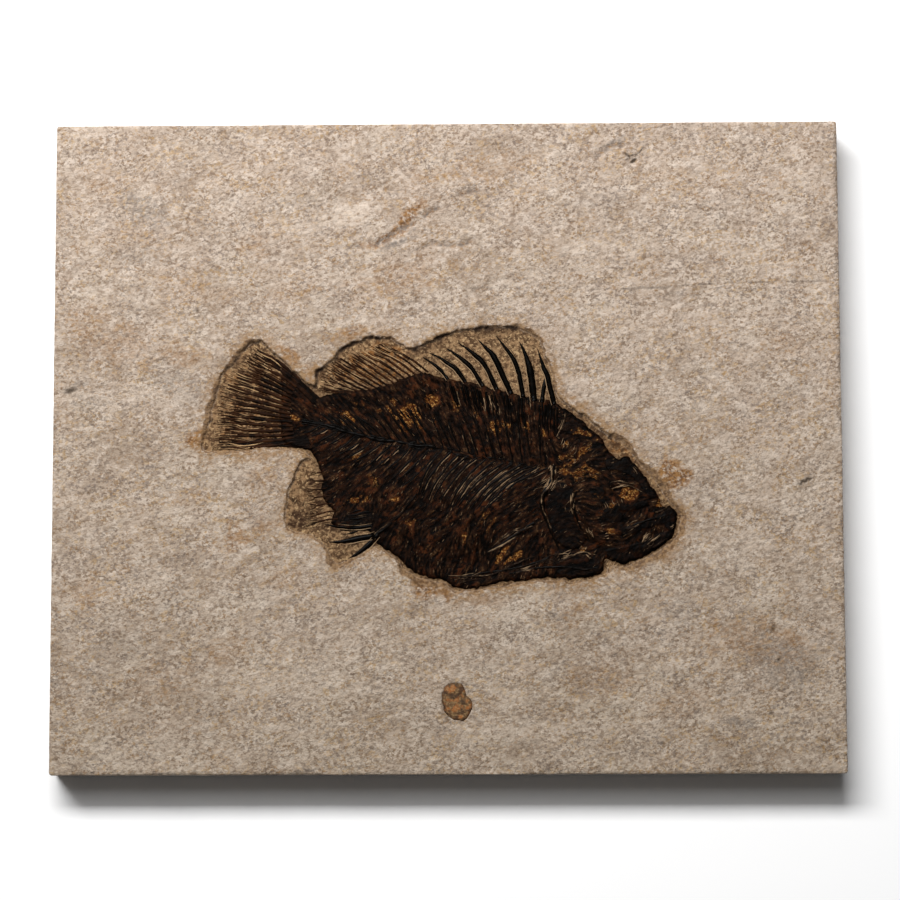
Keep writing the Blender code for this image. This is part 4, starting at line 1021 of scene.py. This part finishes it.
def fanStrands(rng):  # neural spines, haemal spines and ribs, each a dark bone with pale threads beside it: pale chipped edges, coloured as painted highlights
    strands = []

    def places(kind):  # each one's number, its place from head end to tail end, and its root
        for index in range(spine[kind]):
            share = index / (spine[kind] - 1)
            yield index, share, along(backboneLine, between(spine[kind + "Places"], share))

    for index, share, root in places("neural"):
        degrees = 90 + between(spine["neuralLeans"], share) + rng.normal(0, 2.0)
        reach = between(spine["neuralLengths"], share) * rng.uniform(0.9, 1.05)
        pale, top = rng.uniform(0.4, 0.75), rng.uniform(0.55, 1.0)
        strands += spike(root, degrees, rng.normal(0, 5), reach, [
            (0.0, 0.0, 0.38, 0.06, 1.0),
            (-0.5, pale, 0.15, rng.uniform(0.1, 0.5), top),
            (0.55, 0.35, 0.2, rng.uniform(0.2, 0.6), 0.95)], index)
    for index, share, root in places("haemal"):
        degrees = 270 - between(spine["haemalLeans"], share) + rng.normal(0, 2.5)
        strands += spike(root, degrees, -8, between(spine["haemalLengths"], share), [
            (0.0, 0.0, 0.34, 0.06, 0.95),
            (-0.48, rng.uniform(0.7, 1.0), 0.14, rng.uniform(0.1, 0.3), rng.uniform(0.4, 0.8)),
            (0.5, 0.3, 0.18, rng.uniform(0.1, 0.3), 0.8)], index)
    for index, share, root in places("rib"):
        degrees = 180 + between(spine["ribSlopes"], share) + rng.normal(0, 1.5)
        strands += spike(root, degrees, spine["ribDroop"], between(spine["ribLengths"], share), [
            (0.0, 0.0, 0.42, 0.0, 1.0),
            (-0.55, rng.uniform(0.7, 1.02), 0.15, rng.uniform(0.02, 0.25), rng.uniform(0.75, 1.0)),
            (0.4, rng.uniform(0.42, 0.86), 0.13, rng.uniform(0.05, 0.5), rng.uniform(0.6, 0.95)),
            (0.95, rng.uniform(0.5, 0.94), 0.14, rng.uniform(0.1, 0.5), rng.uniform(0.75, 1.05))], index)
    return strands


def barStrands(rng):  # fin supports that stand side by side under the back spines
    strands = []
    for place in np.arange(*spine["barEnds"], spine["barStep"]):
        top = np.interp(place, [-2, 18, 32, 43], [24.5, 20.5, 17.6, 15.0]) - rng.uniform(0, 1.2)
        reach = rng.uniform(8, 13) * np.interp(place, [-2, 12, 30, 43], [0.7, 0.9, 1.1, 1.0])
        lean = np.interp(place, [-2, 20, 43], [0.32, 0.1, -0.02]) + rng.normal(0, 0.03)
        points = [(place + lean * reach * share, top - reach * share) for share in (0, 0.5, 1)]
        dark = rng.random() < 0.55
        tone = 0.0 if dark else rng.uniform(0.45, 0.8)
        width = rng.uniform(0.32, 0.5) if dark else rng.uniform(0.16, 0.26)
        strands.append(strand(points, [width, width, width * 0.4], tone, lift=0.03, sway=0.3))
    return strands


# Fins

fins = dict(
    stoutness=1.25,
    backSpines=[  # tip first, base last, and the widest half width
        ([(-10.0, 35.0), (-5.8, 32.3), (-2.5, 29.6), (0.6, 25.6)], 0.6),
        ([(-6.5, 36.0), (-2.5, 34.2), (0.8, 31.7), (4.2, 29.2), (7.4, 24.6)], 0.75),
        ([(-0.8, 38.3), (2.9, 36.0), (6.7, 32.9), (10.0, 29.6), (14.2, 23.0)], 0.8),
        ([(4.6, 40.0), (8.3, 37.5), (11.7, 34.6), (15.0, 30.8), (19.6, 21.6)], 0.85),
        ([(12.3, 41.3), (15.0, 38.3), (17.9, 35.4), (20.0, 31.3), (25.2, 19.8)], 0.95),
        ([(19.4, 42.5), (21.7, 39.6), (24.2, 36.3), (26.3, 32.9), (28.2, 27.6), (29.8, 18.6)], 0.8),
        ([(28.1, 40.6), (30.0, 37.1), (31.5, 32.9), (32.5, 29.2), (33.1, 25.4), (34.0, 17.0)], 1.15),
        ([(35.4, 37.5), (36.7, 33.3), (37.9, 29.6), (39.2, 26.3), (41.8, 15.6)], 0.85),
        ([(38.6, 27.0), (37.8, 22.6), (37.0, 16.4)], 0.75),
    ],
    analSpines=[
        ([(-45.4, -37.4), (-40.0, -37.1), (-34.6, -36.2), (-27.6, -34.9)], 1.0),
        ([(-37.9, -43.8), (-34.4, -41.8), (-30.6, -38.9), (-26.4, -34.6)], 0.85),
        ([(-47.4, -30.4), (-42.0, -31.4), (-36.0, -31.9), (-29.0, -31.2)], 0.6),
    ],
    fans=[  # bases, tips, rays, and half width at base and tip
        ([(-58.5, 1.6), (-59.5, 7.0), (-60.5, 14.0), (-59.5, 21.0), (-56.5, 25.6)],
         [(-90.9, -0.6), (-90.8, 7.0), (-88.8, 15.0), (-86.2, 26.4), (-75.0, 39.0)], 17, 0.66, 0.7),
        ([(-38.0, 20.6), (-30.0, 21.4), (-21.5, 23.2), (-14.0, 26.6), (-7.0, 28.6)],
         [(-49.8, 22.8), (-48.8, 27.2), (-46.0, 32.4), (-39.0, 37.4), (-25.4, 40.4)], 15, 0.43, 0.5),
        ([(-46.4, -10.0), (-46.0, -18.0), (-43.6, -24.0), (-42.0, -28.4)],
         [(-53.4, -10.4), (-55.5, -18.0), (-55.0, -25.0), (-55.6, -31.0)], 7, 0.3, 0.26),
    ],
    tailEdges=[
        ([(-50.5, 17.6), (-56.0, 23.0), (-62.0, 28.8), (-67.0, 32.8),
          (-73.4, 37.4)], [1.5, 1.5, 1.3, 0.9, 0.4]),
        ([(-53.0, 0.6), (-62.0, 1.4), (-74.0, 1.1), (-82.0, 0.2),
          (-89.0, -0.9)], [1.3, 1.25, 1.1, 0.7, 0.3]),
    ],
)


def unit(way):
    return way / np.linalg.norm(way)


def bladeStrands():  # the stout spines, each with a pale line down either side: painted highlights of the stone's edge beside it
    strands = []
    for path, widest in fins["backSpines"] + fins["analSpines"]:
        widest = widest * fins["stoutness"]
        widths = [0.1, widest * 0.5, widest * 0.9, widest, widest * 0.85]
        strands.append(strand(path, widths, 0.0, lift=0.02))
        way = unit(np.array(path[-1]) - path[0])
        left = np.array([way[1], -way[0]])
        # the pale lines on either side are painted highlights, the brighter one on the first side
        for side, tone, width in ((1.1, 1.5, 0.17), (-1.15, 1.1, 0.1)):
            edge = np.array(path)[1:] + left * widest * side
            strands.append(strand(edge, [0.05, width, width, 0.05], tone, lift=0.42, sway=0.3,
                                  seed=int(7 * widest)))
    return strands


def tailEdgeStrands(rng):  # the tail's close-set leading rays
    strands = []
    for path, widths in fins["tailEdges"]:
        path = np.array(path)
        way = unit(path[-1] - path[0])
        side = np.array([-way[1], way[0]])
        for offset in np.linspace(-1, 1, 6):
            shift = side * offset * 1.5 + way * rng.uniform(-0.5, 0.5)
            spread = np.linspace(1, 0.45, len(path))[:, None]
            last = len(path) - (1 if abs(offset) > 0.7 else 0)
            strands.append(strand((path + shift * spread)[:last], [0.42, 0.46, 0.4, 0.3, 0.15],
                                  rng.uniform(0.0, 0.15), lift=0.06, sway=0.3, seed=int(10 + 9 * offset)))
    return strands


def rayStrands(rng):  # each ray runs whole to its middle, then forks, with thin raised ridges beside it, coloured pale as painted highlights
    strands = []
    for bases, tips, count, baseWidth, tipWidth in fins["fans"]:
        paleWidth = 0.34 * baseWidth
        for index in range(count):
            share, step = index / (count - 1), 1 / (count - 1)
            base, tip = along(bases, share), along(tips, share)
            across = np.array([base[1] - tip[1], tip[0] - base[0]])
            bow = across * 0.12 * (0.5 - share)
            middle = base + (tip - base) * 0.55 + bow * 0.5 + unit(across) * rng.normal(0, 0.15)
            gap = np.linalg.norm(along(tips, min(1, share + step)) - along(tips, max(0, share - step))) / 4
            side, out = unit(across) * gap * 0.5, unit(across) * gap
            end = base + (tip - base) * rng.uniform(0.76, 0.95)
            strands.append(strand(
                [base, (base + middle) / 2 + bow * 0.25, middle], [baseWidth * 0.8, baseWidth, baseWidth],
                rng.uniform(0.12, 0.36), lift=0.08, sway=0.25, seed=index))
            for way in (-1, 1):
                fork = middle + side * way * 0.55
                strands.append(strand(
                    [middle, fork + (end - middle) * 0.3, end + side * way],
                    [baseWidth * 0.6, tipWidth * 0.62, tipWidth * 0.4],
                    rng.uniform(0.15, 0.45), lift=0.06, sway=0.3, seed=index + 20 * way))
            # pale raised ridges beside each ray, and a fainter one further in: their pale colour paints the
            # highlight on them
            ridge = np.array([
                base + (tip - base) * rng.uniform(0.1, 0.3) + out * 0.6, middle + out,
                base + (tip - base) * 0.8 + out, base + (tip - base) * rng.uniform(0.95, 1.02) + out * 1.1])
            strands.append(strand(ridge, [0.1, paleWidth, paleWidth, 0.1], rng.uniform(0.75, 1.05),
                                  lift=0.25, sway=0.6, seed=index + 50))
            strands.append(strand(ridge[1:] - out * 1.1, [0.05, paleWidth * 0.6, 0.08],
                                  rng.uniform(0.6, 0.95), lift=0.24, sway=0.6, seed=index + 70))
    return strands


# Head, shoulder, belly and pelvic bones

headBones = dict(
    dark=[
        ([(41.6, -8), (40.4, -14), (37.2, -19.6), (37, -25), (39.6, -32), (44, -42)], [0.7, 1.0, 0.9, 0.4]),
        ([(50.4, -17), (49.2, -24), (51.2, -31), (55.2, -37.4)], [0.3, 0.5, 0.25]),
        ([(68, -33.2), (72, -31.6), (78, -29.6), (84, -27.8)], [0.3, 0.6, 0.5, 0.3]),
        ([(60, -47.4), (52, -48.4), (43, -47.2), (34, -47.8), (24, -50)], [0.3, 0.5, 0.3]),
        ([(33.8, -30.4), (27.4, -34.2), (21.6, -38), (15.6, -41.6)], [0.6, 0.8, 0.5, 0.15]),
        ([(39, -43.8), (31, -46.6), (20, -48.8), (8, -50.6)], [0.4, 0.5, 0.2]),
        ([(-27.6, -35), (-22, -30.8), (-17, -25.6), (-12.6, -20.6), (-10, -15.4)], [0.8, 0.6, 0.45, 0.2]),
    ],
    brushes=[  # middle x, middle y, reach, direction in degrees, how many, spread, tone
        (47.6, -23.5, 5.5, 76, 8, 0.7, 0.95), (39.6, -15, 6.0, 68, 9, 0.8, 1.1),
        (55, -34.4, 6.0, 112, 6, 0.9, 0.85), (63.5, -23.4, 2.6, 105, 12, 2.6, 0.9),
        (71, -31.9, 5.0, 27, 5, 0.5, 1.1), (77.5, -37.2, 4.2, 42, 8, 1.5, 0.9),
        (87, -31.6, 3.0, 55, 4, 0.5, 1.0), (62.6, -45.8, 3.0, 62, 9, 1.6, 1.1),
        (45.6, -43, 4.5, 15, 5, 0.9, 0.95), (55, -43.2, 3.0, 140, 4, 0.5, 0.95),
        (39.4, -44.6, 6.0, 23, 8, 0.8, 0.85), (52.2, -40, 1.4, 60, 7, 0.6, 1.2),
        (41, -9.6, 2.6, 70, 9, 0.6, 1.2), (50.6, -10, 2.2, 20, 16, 5.0, 0.75),
        (50, -14, 2.0, 110, 12, 4.0, 0.7), (47, -1, 3.0, 62, 9, 2.0, 0.95),
        (56, -2, 3.4, 40, 8, 1.6, 0.85), (44.6, 8, 6.0, 74, 4, 0.5, 0.95),
        (60.8, -34, 2.0, 20, 9, 2.0, 0.95), (68.4, -41.2, 3.4, 30, 5, 0.8, 0.8),
        (73, -9.6, 5.0, -48, 4, 0.8, 0.8), (68.6, -15.6, 6.0, -8, 4, 0.5, 0.85),
        (26, -34.4, 8.0, 30, 7, 0.8, 0.95), (9, -51.4, 9.0, 6, 9, 1.0, 0.8),
        (30, -48, 9.0, 16, 7, 0.8, 0.75), (-19, -27.0, 12.0, 47, 5, 1.3, 0.5),
        (-36, -28.8, 11.0, 6, 9, 1.6, 0.6), (-37, -31.6, 9.0, 3, 7, 0.9, 0.0),
        (-33, -27, 9.0, 8, 5, 1.0, 0.0), (-57, -22, 2.4, 60, 9, 2.0, 0.8),
        (-52, -27, 2.4, 130, 9, 2.2, 0.85), (-12, 13, 7.0, 118, 9, 3.5, 0.0),
        (13, 12, 9.0, 112, 7, 4.0, 0.75), (34, -13, 12.0, 32, 9, 3.0, 0.95),
        (20, -2, 2.4, 20, 14, 8.0, 0.7), (-3, -2.6, 3.0, 10, 14, 6.0, 0.6),
        (-44, 6.4, 3.0, 0, 9, 4.0, 0.5), (0, -34, 2.0, 70, 16, 9.0, 0.6), (24, -22, 4.0, 40, 9, 4.0, 0.7),
    ],
    # pale lines on the head and shoulder bones, coloured pale as painted highlights
    pale=[
        ([(40.0, -8), (40.5, -14), (38.5, -17), (36.5, -20), (37, -25), (38.5, -28),
          (40, -32.5)], [0.2, 0.34, 0.3, 0.2], 1.0),
        ([(41.8, -10), (42.4, -14), (40.4, -18)], [0.2, 0.3, 0.15], 0.9),
        ([(52.5, -28), (54, -33.5), (55.5, -38)], [0.15, 0.3, 0.15], 0.8),
        ([(48.6, -19), (47.6, -23), (48.6, -27)], [0.2, 0.25, 0.15], 0.85),
        ([(42.5, 3), (45.5, 10), (46, 12.5)], [0.15, 0.28, 0.15], 0.9),
        ([(63.4, -17.4), (68.5, -15.8), (72.5, -16.8), (75, -18.5)], [0.15, 0.3, 0.2], 0.85),
        ([(69, -33), (71.6, -32.4), (74, -31)], [0.15, 0.3, 0.15], 1.0),
        ([(75, -38), (76.6, -36), (78, -34.5)], [0.15, 0.28, 0.15], 0.9),
        ([(77, -39), (79.4, -37), (82, -35)], [0.15, 0.28, 0.15], 0.85),
        ([(79, -40), (81.8, -38.4), (84.5, -36.5)], [0.15, 0.25, 0.15], 0.8),
        ([(26.8, -35.5), (21, -38.8), (15.9, -41.4)], [0.2, 0.28, 0.1], 0.95),
        ([(33.0, -31.5), (28.6, -33.2), (24.5, -33.6), (17.3, -39.5)], [0.2, 0.25, 0.1], 0.8),
        ([(38.6, -44), (33, -46.6), (28.6, -48.2)], [0.15, 0.25, 0.15], 0.85),
        ([(33.6, -43.2), (25, -46.4), (15.9, -50.5), (0.5, -50.5)], [0.15, 0.25, 0.2, 0.1], 0.7),
        ([(-27, -33.4), (-21, -29), (-16, -23.6), (-12, -18)], [0.1, 0.2, 0.16, 0.08], 0.7),
        ([(80.4, -26.4), (83.4, -25), (85.2, -24)], [0.2, 0.3, 0.15], 0.8),
        ([(57, -42.6), (52, -41.6), (47.6, -43.4), (42, -46)], [0.15, 0.25, 0.15], 0.8),
    ],
)


def headStrands():  # dark bones, and pale lines with a fainter one beside each: the pale lines are painted highlights on the bones
    strands = [strand(path, widths, 0.04, lift=0.0, sway=0.3) for path, widths in headBones["dark"]]
    for path, widths, tone in headBones["pale"]:
        for offset, share, fade in ((0.0, 0.62, 1.05), (0.42, 0.5, 0.7875)):
            strands.append(strand(np.array(path) + (offset, -offset * 0.4), np.array(widths) * share,
                                  tone * fade, lift=0.3, sway=0.35, spacing=0.5))
    return strands


def chipAndGlintStrands(rng):  # loose slips of bone lying in bundles: dark slips, and pale ones that paint glints
    strands = []
    for middleX, middleY, reach, degrees, count, spread, tone in headBones["brushes"]:
        way = np.array([math.cos(math.radians(degrees)), math.sin(math.radians(degrees))])
        across = np.array([-way[1], way[0]])
        for index in range(count):
            half = 0.5 * reach * rng.uniform(0.4, 1.0) * (way + across * rng.normal(0, 0.15))
            slide = (index / max(1, count - 1) - 0.5) * 3.2 * spread + rng.normal(0, 0.25)
            centre = np.array([middleX, middleY]) + across * slide + way * rng.normal(0, 0.16 * reach)
            bend = across * rng.normal(0, 0.05 * reach)
            width = rng.uniform(0.08, 0.15) if tone > 0.3 else rng.uniform(0.25, 0.42)
            strands.append(strand([centre - half, centre + bend, centre + half], [0.04, width, 0.04],
                                  tone * rng.uniform(0.7, 1.25), lift=0.15, spacing=0.5))
    return strands


# Oval fossil beside the fish

inclusion = dict(step=0.5, sunk=0.3, rise=0.3, deep=1.2, lumps=((2.6, 0.22, 96, 3), (0.9, 0.1, 97, 1)))


def ovalRelief(x, y):
    edge = -signedDistance(x, y, ovalLoop)
    z = faceZ - inclusion["sunk"] + inclusion["rise"] * smoothStep(0.0, 1.1, edge)
    for size, height, seed, octaves in inclusion["lumps"]:
        z += height * roughNoise(x, y, size, seed, octaves)
    return z, dict(rim=(smoothStep(1.5, 0.1, edge), 1))


def ovalMaterial():
    # A second small fossil worn level with the stone: dull brown, swirled, darker at its rim
    look = dict(
        base="#5a4024", roughness=0.8, gloss=0.35, grainMm=1.0, grainDepthMm=0.4,
        layers=[
            ("#8a5426", 1.0, ("", 2.6, 3, 0.46, 0.6)), ("#9a7d55", 0.5, ("", 1.0, 3, 0.46, 0.62)),
            ("#33200f", 0.85, ("", 2.9, 3, 0.5, 0.64)), ("#33200f", 0.5, ("rim", 1.2, 2, 0.7, 1.4)),
        ],
    )
    material, tree, shader = newMaterial("brownInclusion")
    place = node(tree, "ShaderNodeTexCoord").outputs["Object"]
    colour = paint(tree, place, linear(look["base"]), look["layers"])
    grain = node(tree, "ShaderNodeTexNoise", {
        "Vector": place, "Scale": 1 / (look["grainMm"] * mm), "Detail": 3.0})
    bump = node(tree, "ShaderNodeBump", {
        "Height": grain, "Distance": look["grainDepthMm"] * mm, "Strength": 1.0})
    setInputs(tree, shader, {
        "Base Color": colour, "Roughness": look["roughness"], "Specular IOR Level": look["gloss"],
        "Normal": bump})
    return material


# Camera, floor and lights

view = dict(  # the photo's angle: millimetres and degrees
    place=(21.16, -123.37, 1113.16), turn=(6.321, 1.052, -0.152), lens=114.18, sensor=36.0,
)
camera = bpy.data.cameras.new("camera")
camera.lens = view["lens"]
camera.sensor_width = view["sensor"]
camera.clip_start, camera.clip_end = 0.1, 30
cameraObject = bpy.data.objects.new("camera", camera)
cameraObject.location = Vector(view["place"]) * mm
cameraObject.rotation_euler = Euler([math.radians(angle) for angle in view["turn"]])
scene.collection.objects.link(cameraObject)
scene.camera = cameraObject

studio = dict(
    floorHalf=6000, floorDrop=0.05, floor="#ffffff", ambient=0.07, backdrop=0.9,
    softboxes=[  # name, place, width, depth and watts: both are past the slab's upper side, to the left
        ("keySoftbox", (-350, 780, 1100), 1100, 320, 26.0),
        ("fillSoftbox", (-250, 560, 1400), 1300, 560, 5.2),
    ],
)
# Smooth white paper, bright enough to burn out under the lights as in the photo
floorMaterial, tree, shader = newMaterial("whitePaperFloor")
setInputs(tree, shader, {
    "Base Color": linear(studio["floor"]), "Roughness": 1.0, "Specular IOR Level": 0.0})
corners = np.array([(-1, -1), (1, -1), (1, 1), (-1, 1)]) * studio["floorHalf"]
corners = np.column_stack([corners, np.full(4, -studio["floorDrop"])])
floor = meshObject("floor", corners, np.array([(0, 1, 2), (0, 2, 3)]), floorMaterial)

for name, place, width, depth, watts in studio["softboxes"]:
    light = bpy.data.lights.new(name, "AREA")
    light.shape = "RECTANGLE"
    light.size, light.size_y, light.energy = width * mm, depth * mm, watts
    lightObject = bpy.data.objects.new(name, light)
    back = Vector(place).normalized()
    side = (Vector((1, 0, 0)) - back * back.x).normalized()
    lightObject.matrix_world = Matrix((side, back.cross(side), back)).transposed().to_4x4()
    lightObject.location = Vector(place) * mm
    scene.collection.objects.link(lightObject)

world = bpy.data.worlds.new("studioAir")
world.use_nodes = True
scene.world = world
air = world.node_tree
seen = node(air, "ShaderNodeLightPath").outputs["Is Camera Ray"]
strength = node(air, "ShaderNodeMapRange", {
    "Value": seen, "To Min": studio["ambient"], "To Max": studio["backdrop"]})
setInputs(air, air.nodes["Background"], {"Color": (1, 1, 1, 1), "Strength": strength})
scene.view_settings.view_transform = "Standard"

# Every piece, on the part's one body

rng = np.random.default_rng(101)
bone = boneMaterial("fossilBone", dict(
    dark="#040302", middle="#1e120a", pale="#957b5e", roughness=0.3, gloss=0.035, mottleMm=2.2))
ray = boneMaterial("fossilFinRay", dict(
    dark="#090503", middle="#341d0e", pale="#b3926a", roughness=0.5, gloss=0.03, mottleMm=4.0))
scale = boneMaterial("fossilScale", dict(
    dark="#050302", middle="#150b06", pale="#715a42", roughness=0.32, gloss=0.03, mottleMm=1.2))
splinters = {
    "Density": 1.1e6, "Smallest": (0.2, 0.07, 0.05), "Largest": (1.0, 0.16, 0.12), "Stray": 0.3,
    "Rareness": 8.0, "Seed": 7, "Material": scale,
}
bones = [  # name, strands, material, sides, flatness, bead length and depth, waver and its size
    ("backbone", backboneStrands(), bone, 8, 0.5, 3.9, 0.16, 0.9, 1.5),
    ("ribsAndSpines", fanStrands(rng) + barStrands(rng), bone, 8, 0.5, 5, 0.08, 0.35, 1.8),
    ("finSpines", bladeStrands(), bone, 8, 0.5, 9, 0.04, 0.2, 2.5),
    ("finRays", rayStrands(rng) + tailEdgeStrands(rng), ray, 6, 0.5, 1.3, 0.14, 0.4, 1.6),
    ("boneChipsAndGlints", chipAndGlintStrands(rng), bone, 6, 0.5, 3, 0.15, 0.22, 1.4),
    ("headBones", headStrands(), bone, 8, 0.36, 5, 0.18, 0.5, 1.7),
]
skinPiece = shellObject("fishSkin", skinLoop, fish["skinStep"], 64, skinRelief, bedZ - fish["underDepth"],
                        skinMaterial())
fishPieces = [skinPiece, runTree("skinSplinters", skinPiece, makeScatterTree(), splinters)]
sweepTree = makeSweepTree()
for name, strands, material, sides, flatness, beadLength, beadDepth, waver, waverSize in bones:
    fishPieces.append(sweep(name, strands, sweepTree, {
        "Sides": sides, "Flatten": flatness, "Bead Length": beadLength * mm, "Bead Depth": beadDepth,
        "Waver": waver * mm, "Waver Size": waverSize * mm, "Material": material}))
for piece in fishPieces:
    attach(piece, "root")
    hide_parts("fossil_fish")
slabPiece = buildSlab(limestoneMaterial())
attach(slabPiece, "root")
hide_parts("limestone_slab")
ovalPiece = shellObject("ovalInclusion", ovalLoop, inclusion["step"], 95, ovalRelief,
                        faceZ - inclusion["deep"], ovalMaterial())
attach(ovalPiece, "root")
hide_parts("oval_inclusion")
